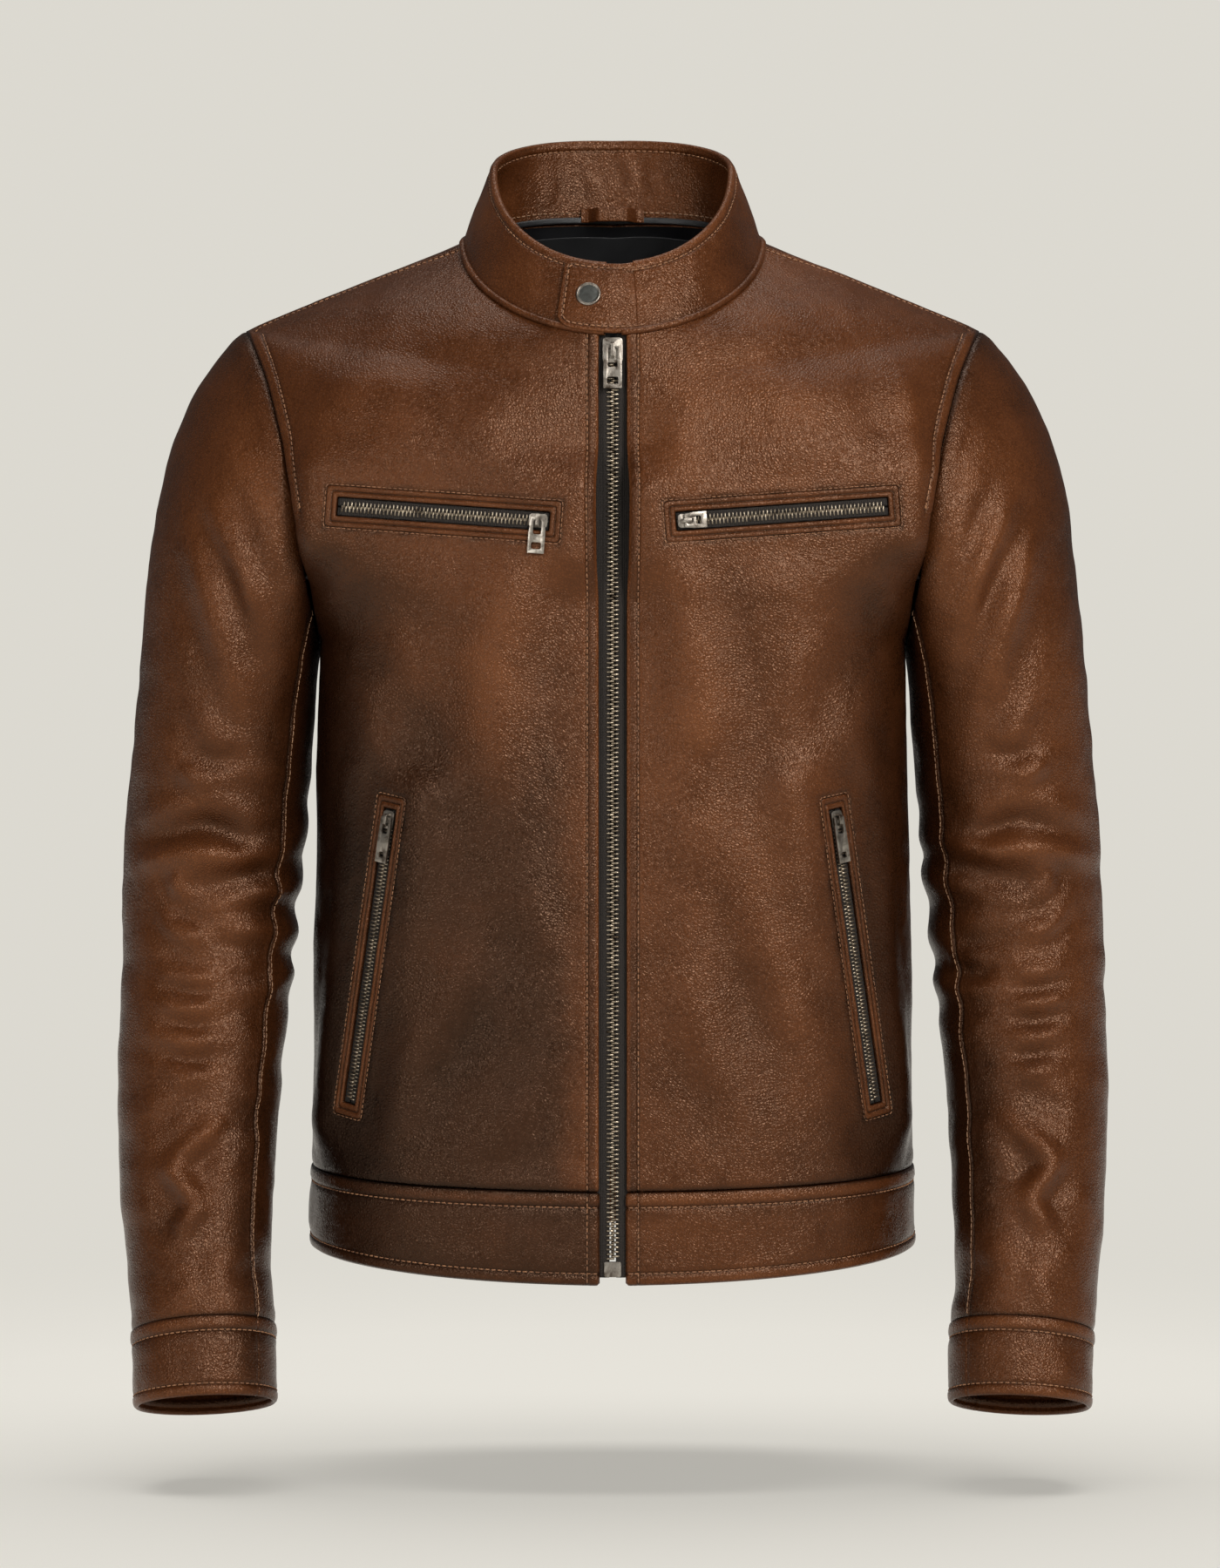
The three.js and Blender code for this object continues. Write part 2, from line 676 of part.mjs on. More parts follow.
add(
  "collar_tab",
  cut(
    shell(tabSurface, range(TAB_ROOT, TAB_END, 7), [0.02, 0.5, 1], 0, -TAB, collarOptions),
    disc(SOCKET_R + GAP, -2, 8).applyMatrix4(snapPlace),
  ),
  leather,
);
const snapGroup = new THREE.Group();
snapGroup.applyMatrix4(snapPlace);
garment.add(snapGroup);
const capFoot = TAB_RISE + GAP;
add("snap_cap", disc(CAP_R, capFoot, capFoot + CAP, 24), nickel, snapGroup);
add(
  "snap_socket",
  cut(
    disc(SOCKET_R, TAB_CLEAR, TAB_RISE),
    disc(SOCKET_BORE, TAB_CLEAR - 1, TAB_RISE - SOCKET_ROOF),
  ),
  brass,
  snapGroup,
);
add(
  "snap_stud",
  join(
    disc(SOCKET_R - 0.4, GAP, GAP + STUD_FLANGE),
    disc(STUD_R, GAP, TAB_RISE - SOCKET_ROOF - GAP),
  ),
  brass,
  snapGroup,
);

// ---------- Zips ----------
// In a zip's own frame the chain runs along +X, +Y is across it and +Z points out of the leather.
// Each chain has its half width, half height, half slot between the two rows and tape thickness.
const CHAINS = {
  main: { half: 5.0, rise: 1.5, slot: 0.75, tape: TAPE_THICK },
  pocket: { half: 3.3, rise: 1.1, slot: 0.6, tape: 0.6 },
};
// A slider is two wings joined by a thin neck in the slot, with a crown that holds the pull's bar.
const SLIDERS = {
  main: { length: 15, half: 5.9, wing: 1.3, crown: 4.7 },
  pocket: { length: 11, half: 4.1, wing: 1.0, crown: 3.6 },
};
const BAR = 1.5; // the pull's thickness
const BAR_REACH = (BAR / 2) * Math.SQRT2;
const CROWN_HALF = 1.1; // half the crown's width
const CROWN_WALL = 1.2;
const BAR_HEIGHT = BAR_REACH + 0.05; // the bar's centre above the top wing
const CROWN_INSIDE = BAR_HEIGHT + BAR_REACH + RUN;
const NECK = 3; // length of the neck

function sliderGeometry(kind, turn) {
  const { length, half, wing, crown } = SLIDERS[kind];
  const { rise, slot } = CHAINS[kind];
  const low = rise + RUN;
  const bow = new THREE.Shape();
  bow.moveTo(-crown, 0);
  bow.lineTo(-crown, CROWN_INSIDE);
  bow.lineTo(-crown + CROWN_WALL, CROWN_INSIDE + CROWN_WALL);
  bow.lineTo(crown - CROWN_WALL, CROWN_INSIDE + CROWN_WALL);
  bow.lineTo(crown, CROWN_INSIDE);
  bow.lineTo(crown, 0);
  bow.lineTo(crown - CROWN_WALL, 0);
  bow.lineTo(crown - CROWN_WALL, CROWN_INSIDE);
  bow.lineTo(CROWN_WALL - crown, CROWN_INSIDE);
  bow.lineTo(CROWN_WALL - crown, 0);
  return join(
    slab(roundedRect(0, length, -half, half, 2), wing, low),
    slab(roundedRect(0, length, -half, half, 2), wing, -low - wing),
    box(1, 1 + NECK, RUN - slot, slot - RUN, -low - wing / 2, low + wing / 2),
    slab(bow, 2 * CROWN_HALF, -CROWN_HALF)
      .rotateX(Math.PI / 2)
      .rotateZ(turn)
      .translate(length / 2, 0, low + wing - 0.2),
  );
}
// A pull lies along +X from the bar on its hinge axis, its own Y. Windows are [from, to, half].
function pullGeometry({ length, width, neck, windows }) {
  const outline = new THREE.Shape();
  outline.moveTo(-BAR / 2, -neck / 2);
  outline.lineTo(length * 0.4, -width / 2);
  outline.lineTo(length, -width / 2);
  outline.lineTo(length, width / 2);
  outline.lineTo(length * 0.4, width / 2);
  outline.lineTo(-BAR / 2, neck / 2);
  outline.closePath();
  windows.forEach(([from, to, half]) => outline.holes.push(roundedRect(from, to, -half, half, 1)));
  return slab(outline, BAR, -BAR / 2);
}
const PULLS = {
  main: { length: 25, width: 11, neck: 8.6, windows: [[BAR / 2, 12.5, 2.9], [18.3, 22.5, 3.5]] },
  hanging: { length: 20.5, width: 10, neck: 8.4, windows: [[BAR / 2, 9.2, 2.5], [14, 18, 3]] },
  short: { length: 12.5, width: 9.5, neck: 8, windows: [[BAR / 2, 9.2, 2.5]] },
  along: { length: 27, width: 8.4, neck: 7.4, windows: [[BAR / 2, 9.4, 2.2], [20.5, 24, 1.8]] },
};

const framed = (origin, u, v, n) => {
  const g = new THREE.Group();
  g.applyMatrix4(new THREE.Matrix4().makeBasis(u, v, n).setPosition(origin));
  garment.add(g);
  return g;
};
// The crown, with its pull, is turned by turn about the slider's middle.
function addSlider(prefix, side, kind, parent, at, pull, turn = 0) {
  const { length, wing, crown } = SLIDERS[kind];
  const carrier = new THREE.Group();
  carrier.position.x = at;
  parent.add(carrier);
  add(`${prefix}_slider${side}`, sliderGeometry(kind, turn), nickel, carrier);
  const middle = new THREE.Group();
  middle.position.set(length / 2, 0, CHAINS[kind].rise + RUN + wing + BAR_HEIGHT);
  middle.rotation.z = turn;
  carrier.add(middle);
  const hinge = new THREE.Group();
  hinge.position.x = CROWN_WALL + BAR_REACH + RUN - crown;
  middle.add(hinge);
  add(`${prefix}_pull${side}`, pullGeometry(pull), nickel, hinge);
}

// Main zip: from the collar's seam down to the hem.
const mainZip = framed(zipTop, zipDown, V(1, 0, 0), zipOut);
const mainChain = CHAINS.main;
const BOX_LENGTH = 9; // retainer at the foot of the zip
const STOP = 2; // tape above the first tooth
const chainEnd = ZIP_LENGTH - BOX_LENGTH - GAP;
for (const [side, s] of [
  ["left", 1],
  ["right", -1],
]) {
  const strip = (x0, x1, y0, y1, rise) =>
    box(x0, x1, Math.min(s * y0, s * y1), Math.max(s * y0, s * y1), -rise, rise);
  const { half, slot, rise, tape } = mainChain;
  add(
    `zip_tape_${side}`,
    strip(0, ZIP_LENGTH, half + GAP, TAPE_HALF, tape / 2),
    tapeCloth,
    mainZip,
  );
  add(`zip_teeth_${side}`, strip(STOP, chainEnd, slot, half, rise), brass, mainZip);
}
add(
  "zip_box",
  slab(
    roundedRect(chainEnd + GAP, ZIP_LENGTH, -mainChain.half, mainChain.half, 1),
    2 * mainChain.rise + 0.8,
    -mainChain.rise - 0.4,
  ),
  nickel,
  mainZip,
);
addSlider("main", "", "main", mainZip, STOP, PULLS.main);

// Pocket zips: a closed tape with two rows of teeth, a welt round it and a bag behind it.
const WELT_PROUD = 0.9;
const END_BAR = 1; // tape left joined at the ends of the slot
const pocketPulls = {
  chest_left: [PULLS.short, 0],
  chest_right: [PULLS.hanging, Math.PI / 2],
  hand_left: [PULLS.along, 0],
  hand_right: [PULLS.along, 0],
};
// The bag's share of the front: rows above and below the zip, and shares beside it.
const BAG_REACH = {
  chest: { up: 0.2, down: 1.3, inward: 0.02, outward: 0.02 },
  hand: { up: 0.1, down: 0.05, inward: 0.22, outward: 0.03 },
};
for (const [kind, pocket] of Object.entries(POCKETS)) {
  const { length, margin, welt, window, start, end } = pocket;
  for (const [side, mirror] of SIDES) {
    const flip = ({ x, y, z }) => V(mirror ? -x : x, y, z);
    const u = flip(pocket.u);
    const n = flip(pocket.n);
    const place = framed(flip(pocket.origin), u, n.clone().cross(u), n);
    const leatherPlace = new THREE.Group();
    leatherPlace.position.z = ZIP_SINK;
    place.add(leatherPlace);
    add(
      `${kind}_welt_${side}`,
      cut(
        box(-margin, length + margin, -welt / 2, welt / 2, GAP - BAG_DEPTH, WELT_PROUD),
        box(0, length, -window / 2, window / 2, -BAG_DEPTH, BAG_DEPTH),
      ),
      leather,
      leatherPlace,
    );
    const { half, rise, slot, tape } = CHAINS.pocket;
    const across = window / 2 - GAP;
    add(
      `${kind}_zip_${side}`,
      cut(
        join(
          box(GAP, length - GAP, -across, across, -tape / 2, tape / 2),
          box(STOP, length - STOP, -half, half, -rise, rise),
        ),
        box(END_BAR, length - END_BAR, -slot, slot, -BAG_DEPTH, BAG_DEPTH),
      ),
      brass,
      place,
    );
    addSlider(kind, `_${side}`, "pocket", place, STOP / 2, ...pocketPulls[`${kind}_${side}`]);
    const [rowA, shareA] = frontParameters(...start);
    const [rowB, shareB] = frontParameters(...end);
    const { up, down, inward, outward } = BAG_REACH[kind];
    add(
      `${kind}_bag_${side}`,
      shell(
        frontSurface,
        range(Math.min(rowA, rowB) - down, Math.max(rowA, rowB) + up, 7),
        range(Math.min(shareA, shareB) - inward, Math.max(shareA, shareB) + outward, 7),
        -BAG_DEPTH,
        -BAG_DEPTH - BAG,
        { hub: bodyHub, mirror },
      ),
      satin,
    );
  }
}

// ---------- Sleeves ----------
// From the armhole down: a soft cap, the upper sleeve, a soft elbow, the lower sleeve, the cuff.
const degrees = (a) => (a * Math.PI) / 180;
const FRONT_SEAM = degrees(142);
const BACK_SEAM = degrees(236);
const seamAngle = GAP / 90;
const seamStep = GAP / 60;
const ELBOW = CROWN + 2; // the elbow's station
const ELBOW_SPAN = 0.8; // stations above and below it that bend
const cuffStart = CROWN + LAST - CUFF_H / 46;
const topAngles = range(BACK_SEAM - 2 * Math.PI + seamAngle, FRONT_SEAM - seamAngle, 12);
const underAngles = range(FRONT_SEAM + seamAngle, BACK_SEAM - seamAngle, 4);
const ringAngles = [...topAngles, ...underAngles];
for (const [side, mirror] of SIDES) {
  const options = { hub: sleeveHub, mirror };
  const ring = { ...options, wrap: true };
  const tube = (from, to, steps, outer, inner) =>
    shell(sleeveSurface, range(from, to, steps), ringAngles, outer, inner, ring);
  const half = (from, to, steps, angles) =>
    shell(sleeveSurface, range(from, to, steps), angles, 0, -LEATHER, options);
  const upperEnd = ELBOW - ELBOW_SPAN;
  const lowerStart = ELBOW + ELBOW_SPAN;
  add(`sleeve_cap_${side}`, tube(SEAM / 100, CROWN, 4, 0, -LEATHER), leather);
  for (const [part, from, to, steps] of [
    ["upper", CROWN + seamStep, upperEnd, 1],
    ["lower", lowerStart, cuffStart - seamStep, 4],
  ]) {
    add(`topsleeve_${part}_${side}`, half(from, to, steps, topAngles), leather);
    add(`undersleeve_${part}_${side}`, half(from, to, steps, underAngles), leather);
  }
  add(
    `sleeve_elbow_${side}`,
    tube(upperEnd + seamStep, lowerStart - seamStep, 3, 0, -LEATHER),
    leather,
  );
  const liningOuter = -SLEEVE_LINING_DEPTH + LINING;
  add(
    `sleeve_lining_${side}`,
    tube(lowerStart, cuffStart - seamStep, 4, liningOuter, -SLEEVE_LINING_DEPTH),
    satin,
  );
  add(
    `cuff_${side}`,
    tube(cuffStart, CROWN + LAST, 1, BAND_PROUD, -SLEEVE_LINING_DEPTH),
    leather,
  );
}

// ---------- Origin ----------
// The middle of the gap between the hanger loop and the collar.
const HOOK_Y = loopSeatY - LOOP_BULGE / 2;
garment.position.set(0, -HOOK_Y, -(LOOP_Z - LOOP_H / 2));
const jacket = new THREE.Group();
jacket.add(garment);

export default jacket;
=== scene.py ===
import json
import math

import bmesh
import bpy
import numpy as np
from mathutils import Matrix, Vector


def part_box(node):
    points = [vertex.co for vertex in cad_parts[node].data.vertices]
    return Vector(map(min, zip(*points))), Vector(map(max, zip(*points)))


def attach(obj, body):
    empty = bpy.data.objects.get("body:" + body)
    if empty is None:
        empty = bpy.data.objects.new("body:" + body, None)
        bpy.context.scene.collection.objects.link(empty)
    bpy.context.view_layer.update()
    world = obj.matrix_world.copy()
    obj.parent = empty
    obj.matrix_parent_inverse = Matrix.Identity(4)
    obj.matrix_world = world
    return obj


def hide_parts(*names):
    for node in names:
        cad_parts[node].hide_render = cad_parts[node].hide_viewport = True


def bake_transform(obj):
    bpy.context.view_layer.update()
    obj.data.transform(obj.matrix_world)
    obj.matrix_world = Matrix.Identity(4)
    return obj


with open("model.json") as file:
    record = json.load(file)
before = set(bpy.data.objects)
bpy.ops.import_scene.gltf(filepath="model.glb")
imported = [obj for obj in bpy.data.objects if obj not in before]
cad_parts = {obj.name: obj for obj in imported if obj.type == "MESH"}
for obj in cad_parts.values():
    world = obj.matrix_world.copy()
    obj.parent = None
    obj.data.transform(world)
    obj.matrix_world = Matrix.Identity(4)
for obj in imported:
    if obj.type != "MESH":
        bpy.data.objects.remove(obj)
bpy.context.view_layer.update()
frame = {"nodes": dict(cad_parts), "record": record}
NODES = frame["nodes"]

ORIGIN = np.array([0.0, -59.8125, -657.7])  # garment frame to CAD frame
SIDES = (("left", 1), ("right", -1))

# ---------------------------------------------------------------- sizes shared with the CAD
SIDE, FRONT, NECK_FRONT_Y, BACK, SEAM_Y = 186, 110, 92, 104, 8
ARMPIT_Z, SHOULDER_Z, SHOULDER_X = 383, 579, 228
NECK_X, NECK_SIDE_Z, NECK_FRONT_Z, NECK_BACK_Z, NECK_BACK_Y = 93, 632, 566, 652, 70
BAND_H = 54
RIM_X, RIM_FRONT_Y, RIM_FRONT_Z, RIM_SIDE_Z, RIM_BACK_Y, RIM_BACK_Z = 75, 77, 610, 680, 67, 704
LEATHER = 1.6
BAG_DEPTH = 4.7
LINING_DEPTH = 7.2
CLOTH = 0.6  # the lining's thickness
PLACKET_X = 8.2
TAPE_HALF, TAPE_THICK = 15, 0.8
ZIP_DEPTH = 3.3
ZIP_SINK = 1.5
ROWS = 10


# ---------------------------------------------------------------- small helpers
def vec(*c):
    return np.array(c, float)


def unit(a):
    return a / np.maximum(np.linalg.norm(a, axis=-1, keepdims=True), 1e-12)


def ease(x):
    t = np.clip(x, 0, 1)
    return t * t * (3 - 2 * t)


def bell(x, width):
    return np.exp(-((x / width) ** 2))


def spline(points, closed=False):
    """A smooth line through points, run on straight past its ends."""
    p = np.array(points, float)
    if closed:
        q = np.concatenate([p[-1:], p, p[:2]])
    else:
        q = np.concatenate([[2 * p[0] - p[1]], p, [2 * p[-1] - p[-2]]])
    count = len(p) if closed else len(p) - 1

    def at(t):
        t = np.asarray(t, float)
        inside = t % 1 if closed else np.clip(t, 0, 1)
        place = inside * count
        i = np.minimum(place.astype(int), count - 1)
        w = (place - i)[..., None]
        a, b, c, d = q[i], q[i + 1], q[i + 2], q[i + 3]
        m0, m1 = 0.5 * (c - a), 0.5 * (d - b)
        cubic = w * (3 * (c - b) - 2 * m0 - m1 + w * (2 * (b - c) + m0 + m1))
        out = b + w * (m0 + cubic)
        if not closed:
            ends = np.where((inside > 0.5)[..., None], p[-1] - p[-2], p[1] - p[0])
            out = out + ends * count * (t - inside)[..., None]
        return out

    return at


def bezier(a, b, c, d, t):
    t = np.asarray(t, float)[..., None]
    k = 1 - t
    return k * k * k * a + 3 * k * k * t * b + 3 * k * t * t * c + t * t * t * d


class Noise:
    """Smooth noise between -1 and 1 from a seeded lattice."""

    def __init__(self, seed, size=24):
        self.size = size
        self.table = np.random.default_rng(seed).uniform(-1, 1, (size, size, size))

    def __call__(self, p, scale):
        q = np.asarray(p, float) / scale
        base = np.floor(q).astype(int)
        f = q - base
        f = f * f * f * (f * (6 * f - 15) + 10)
        out = 0.0
        for corner in range(8):
            step = np.array([corner & 1, corner >> 1 & 1, corner >> 2 & 1])
            i = (base + step) % self.size
            weight = np.prod(np.where(step == 1, f, 1 - f), axis=-1)
            out = out + weight * self.table[i[..., 0], i[..., 1], i[..., 2]]
        return out


noise = Noise(7)
noise_b = Noise(19)

# ---------------------------------------------------------------- body surface
AH = SHOULDER_Z - ARMPIT_Z
armhole = spline([
    (SHOULDER_X, SEAM_Y + 2, SHOULDER_Z), (SHOULDER_X - 17, -44, SHOULDER_Z - 0.19 * AH),
    (SHOULDER_X - 34, -70, SHOULDER_Z - 0.52 * AH), (SIDE - 2, -50, ARMPIT_Z + 0.15 * AH),
    (SIDE - 5, SEAM_Y, ARMPIT_Z), (SIDE - 1, 62, ARMPIT_Z + 0.15 * AH),
    (SHOULDER_X - 30, 84, SHOULDER_Z - 0.5 * AH), (SHOULDER_X - 14, 58, SHOULDER_Z - 0.19 * AH),
], True)
side_seam = spline([
    (SIDE + 1, SEAM_Y, 14), (SIDE, SEAM_Y, BAND_H + 8), (SIDE - 1, SEAM_Y, 0.47 * ARMPIT_Z),
    (SIDE - 3, SEAM_Y, 0.78 * ARMPIT_Z), (SIDE - 5, SEAM_Y, ARMPIT_Z),
])
shoulder_seam = spline([
    (SHOULDER_X, SEAM_Y + 2, SHOULDER_Z),
    ((SHOULDER_X + NECK_X) / 2, SEAM_Y + 1, (SHOULDER_Z + NECK_SIDE_Z) / 2 + 1.5),
    (NECK_X, SEAM_Y - 2, NECK_SIDE_Z),
])


def edge(row, back):
    low = side_seam(row / 4)
    high = shoulder_seam((row - 8) / 2)
    arm = armhole((row if back else 8 - row) / 8)
    r = np.asarray(row)[..., None]
    return np.where(r <= 4, low, np.where(r >= 8, high, arm))


def front_y(z):
    return -FRONT + (FRONT - NECK_FRONT_Y) * z / NECK_FRONT_Z


ROW_Z = (0, BAND_H, 175, 295, 388, 428, 478, 518, 540, 550, NECK_FRONT_Z)
front_centre = spline([(0, front_y(z), z) for z in ROW_Z])
front_pull = spline([
    (118, -FRONT, 1), (118, -FRONT - 1, BAND_H + 1), (118, -FRONT - 1, 177), (116, -FRONT - 5, 297),
    (108, -FRONT - 13, 390), (100, -FRONT - 14, 430), (92, -FRONT - 11, 481), (86, -FRONT - 2, 521),
    (82, -FRONT + 5, 544), (72, -FRONT + 9, 555), (50, -NECK_FRONT_Y - 1, NECK_FRONT_Z + 1),
])
front_turn = spline([
    (SIDE + 1, -76, 12), (SIDE, -77, BAND_H + 6), (SIDE - 1, -77, 179), (SIDE - 3, -80, 298),
    (SIDE - 3, -86, 388), (SIDE - 12, -92, 420), (SIDE - 22, -98, 479), (SIDE - 14, -84, 536),
    (SIDE + 14, -42, 571), ((SHOULDER_X + NECK_X) / 2 - 12, -44, 594), (NECK_X - 2, -52, 596),
])
back_centre = spline([
    (0, BACK, 16), (0, BACK, BAND_H + 8), (0, BACK - 6, 185), (0, BACK, 300), (0, BACK + 10, 395),
    (0, BACK + 13, 435), (0, BACK + 13, 492), (0, BACK + 7, 552), (0, BACK - 5, 598),
    (0, BACK - 19, 630), (0, NECK_BACK_Y, NECK_BACK_Z),
])
back_pull = spline([
    (118, BACK, 16), (118, BACK, BAND_H + 8), (118, BACK - 6, 185), (116, BACK, 300),
    (108, BACK + 12, 393), (102, BACK + 16, 433), (94, BACK + 17, 491), (90, BACK + 10, 553),
    (80, BACK - 3, 600), (70, BACK - 18, 633), (50, NECK_BACK_Y, NECK_BACK_Z + 3),
])
back_turn = spline([
    (SIDE + 1, 82, 15), (SIDE, 82, BAND_H + 8), (SIDE - 1, 80, 180), (SIDE - 3, 86, 300),
    (SIDE - 3, 96, 388), (SIDE - 12, 104, 420), (SIDE - 22, 114, 485), (SIDE - 14, 98, 547),
    (SIDE + 12, 52, 588), ((SHOULDER_X + NECK_X) / 2 - 10, 48, 613), (NECK_X - 2, 45, 645),
])


def front_raw(row, t):
    s = row / ROWS
    return bezier(front_centre(s), front_pull(s), front_turn(s), edge(row, False), t)


def back_surface(row, t):
    s = row / ROWS
    return bezier(back_centre(s), back_pull(s), back_turn(s), edge(row, True), t)


def back_whole(row, w):
    p = back_surface(row, np.abs(w))
    p[..., 0] *= np.where(w < 0, -1, 1)
    return p


def front_parameters(x, z):
    """The row and share along it where the front has the given x and z."""
    row, t = ROWS * z / NECK_FRONT_Z, 0.4
    step = 1e-3
    for _ in range(30):
        p = front_raw(np.array(row), np.array(t))
        pr = (front_raw(np.array(row + step), np.array(t)) - p) / step
        pt = (front_raw(np.array(row), np.array(t + step)) - p) / step
        det = pr[0] * pt[2] - pr[2] * pt[0]
        dx, dz = x - p[0], z - p[2]
        row = min(ROWS - 0.1, max(0, row + (dx * pt[2] - dz * pt[0]) / det))
        t = min(1, max(0, t + (pr[0] * dz - pr[2] * dx) / det))
    return row, t


# ---------------------------------------------------------------- pockets
POCKETS = {
    "chest": {"start": (37, 453), "end": (164, 463), "welt": 25, "window": 11, "margin": 7},
    "hand": {"start": (133, 282), "end": (159, 104), "welt": 21, "window": 9.5, "margin": 8},
}
FLAT_MARGIN, FLAT_FADE = 5, 34
for pocket in POCKETS.values():
    a, b = (front_raw(*map(np.array, front_parameters(*pocket[k]))) for k in ("start", "end"))
    row, t = front_parameters((a[0] + b[0]) / 2, (a[2] + b[2]) / 2)
    step = 1e-2
    middle = front_raw(np.array(row), np.array(t))
    along = front_raw(np.array(row), np.array(t + step)) - front_raw(np.array(row), np.array(t - step))
    up = front_raw(np.array(row + step), np.array(t)) - front_raw(np.array(row - step), np.array(t))
    u = unit(b - a)
    n = unit(np.cross(along, up))
    n = unit(n - u * n.dot(u))
    rise = (middle - a).dot(n) * 0.6
    pocket["origin"] = a + n * (rise - ZIP_SINK)
    pocket["u"], pocket["n"], pocket["v"] = u, n, np.cross(n, u)
    pocket["length"] = float(np.linalg.norm(b - a))


def pocket_gap(p, pocket):
    """Distance of a point outside the welt's outline, and how far along and across it lies."""
    q = p - pocket["origin"]
    half = pocket["length"] / 2
    along = np.abs(q @ pocket["u"] - half) - half
    across = np.abs(q @ pocket["v"])
    return along, across


def front_surface(row, t):
    p = front_raw(row, t)
    for pocket in POCKETS.values():
        height = (p - pocket["origin"]) @ pocket["n"] - ZIP_SINK
        along, across = pocket_gap(p, pocket)
        du = np.maximum(0, along - pocket["margin"] - FLAT_MARGIN)
        dv = np.maximum(0, across - pocket["welt"] / 2 - FLAT_MARGIN)
        share = np.where(np.abs(height) > FLAT_FADE, 0, ease(1 - np.hypot(du, dv) / FLAT_FADE))
        p = p - pocket["n"] * (height * share)[..., None]
    return p


# ---------------------------------------------------------------- collar surface
def quarter(front, t, h):
    ten = np.full(np.shape(t), float(ROWS))
    neck = front_surface(ten, t) if front else back_surface(ten, t)
    if front:
        rim = bezier(
            vec(0, -RIM_FRONT_Y, RIM_FRONT_Z),
            vec(41, -RIM_FRONT_Y - 2, RIM_FRONT_Z),
            vec(RIM_X, -50, RIM_SIDE_Z - 42),
            vec(RIM_X, SEAM_Y - 3, RIM_SIDE_Z),
            t,
        )
    else:
        rim = bezier(
            vec(0, RIM_BACK_Y, RIM_BACK_Z),
            vec(40, RIM_BACK_Y, RIM_BACK_Z + 1),
            vec(RIM_X, 45, RIM_SIDE_Z + 18),
            vec(RIM_X, SEAM_Y - 3, RIM_SIDE_Z),
            t,
        )
    return neck + (rim - neck) * np.asarray(h)[..., None]


def collar_surface(turn, h):
    """Turn 0 is the centre front, 1 the wearer's left side, 2 the centre back, 3 the right."""
    turn, h = np.broadcast_arrays(np.asarray(turn, float), np.asarray(h, float))
    w = turn % 4
    t = np.where((w < 1) | ((w >= 2) & (w < 3)), w % 1, 1 - w % 1)
    front = (w < 1) | (w >= 3)
    p = np.where(front[..., None], quarter(True, t, h), quarter(False, t, h))
    p[..., 0] *= np.where(w >= 2, -1, 1)
    return p


# ---------------------------------------------------------------- sleeve surface
STATIONS = (
    ((SIDE + 54.5, 8, 335), 55, 64),
    ((SIDE + 61, 10, 268), 55.5, 61),
    ((SIDE + 65, 7, 205), 53.5, 57),
    ((SIDE + 68, -7, 137), 51, 53),
    ((SIDE + 69, -26, 68), 48, 49),
    ((SIDE + 65.5, -46, 0), 44, 45),
    ((SIDE + 62, -57, -33), 43, 43),
    ((SIDE + 59.5, -70, -77), 42.5, 41.5),
)
LAST = len(STATIONS) - 1
sleeve_line = spline([s[0] for s in STATIONS])
sleeve_size = spline([(s[1], s[2], 0) for s in STATIONS])
FRONT_SEAM, BACK_SEAM = math.radians(142), math.radians(236)
ELBOW, ELBOW_SPAN = 3, 0.8
CUFF_START = LAST  # in sleeve units, one station below the cap's end
SLEEVE_END = LAST + 1


def sleeve_frame(k):
    c = sleeve_line(k / LAST)
    down = unit(sleeve_line(k / LAST + 1e-3) - sleeve_line(k / LAST - 1e-3))
    x = vec(1, 0, 0)
    out = unit(x - down * (down @ x)[..., None])
    return c, down, out, np.cross(down, out)


def sleeve_ring(k, angle):
    c, _, out, fore = sleeve_frame(k)
    size = sleeve_size(k / LAST)
    across = out * (np.cos(angle) * size[..., 0])[..., None]
    return c + across + fore * (np.sin(angle) * size[..., 1])[..., None]


def sleeve_surface(k, angle):
    k, angle = np.broadcast_arrays(np.asarray(k, float), np.asarray(angle, float))
    low = sleeve_ring(np.maximum(k, 1) - 1, angle)
    a = armhole(angle / (2 * math.pi))
    b = sleeve_ring(np.zeros_like(k), angle)
    length = np.linalg.norm(a - b, axis=-1)[..., None]
    top = np.cos(angle) * 0.5 + 0.5
    leave = np.stack([0.22 + 0.6 * top, -0.1 * np.sin(angle), -0.98 + 0.3 * top], -1)
    leave = unit(leave) * length
    arrive = sleeve_frame(np.zeros_like(k))[1] * length
    s = np.clip(k, 0, 1)[..., None]
    s2, s3 = s * s, s * s * s
    cap = (
        a * (2 * s3 - 3 * s2 + 1)
        + leave * (s3 - 2 * s2 + s)
        + b * (-2 * s3 + 3 * s2)
        + arrive * (s3 - s2)
    )
    return np.where((k >= 1)[..., None], low, cap)


# ---------------------------------------------------------------- grids
def arcs(q, axis):
    """Running length along an axis of a grid of points."""
    steps = np.linalg.norm(np.diff(q, axis=axis), axis=-1)
    zero = np.zeros_like(np.take(steps, [0], axis=axis))
    return np.concatenate([zero, np.cumsum(steps, axis=axis)], axis=axis)


def row_marks(surface, t, first, last, low, high, step, fine=800):
    """Row numbers from first to last: low and high give the first and last lengths in mm."""
    r = np.linspace(first, last, fine)
    length = arcs(surface(r, np.full(fine, t)), 0)
    total = length[-1]
    middle = max(2, int(round((total - low[-1] - high[-1]) / step)))
    between = np.linspace(low[-1], total - high[-1], middle + 1)[1:-1]
    marks = np.concatenate([low, between, total - np.array(high)[::-1]])
    return np.interp(marks, length, r)


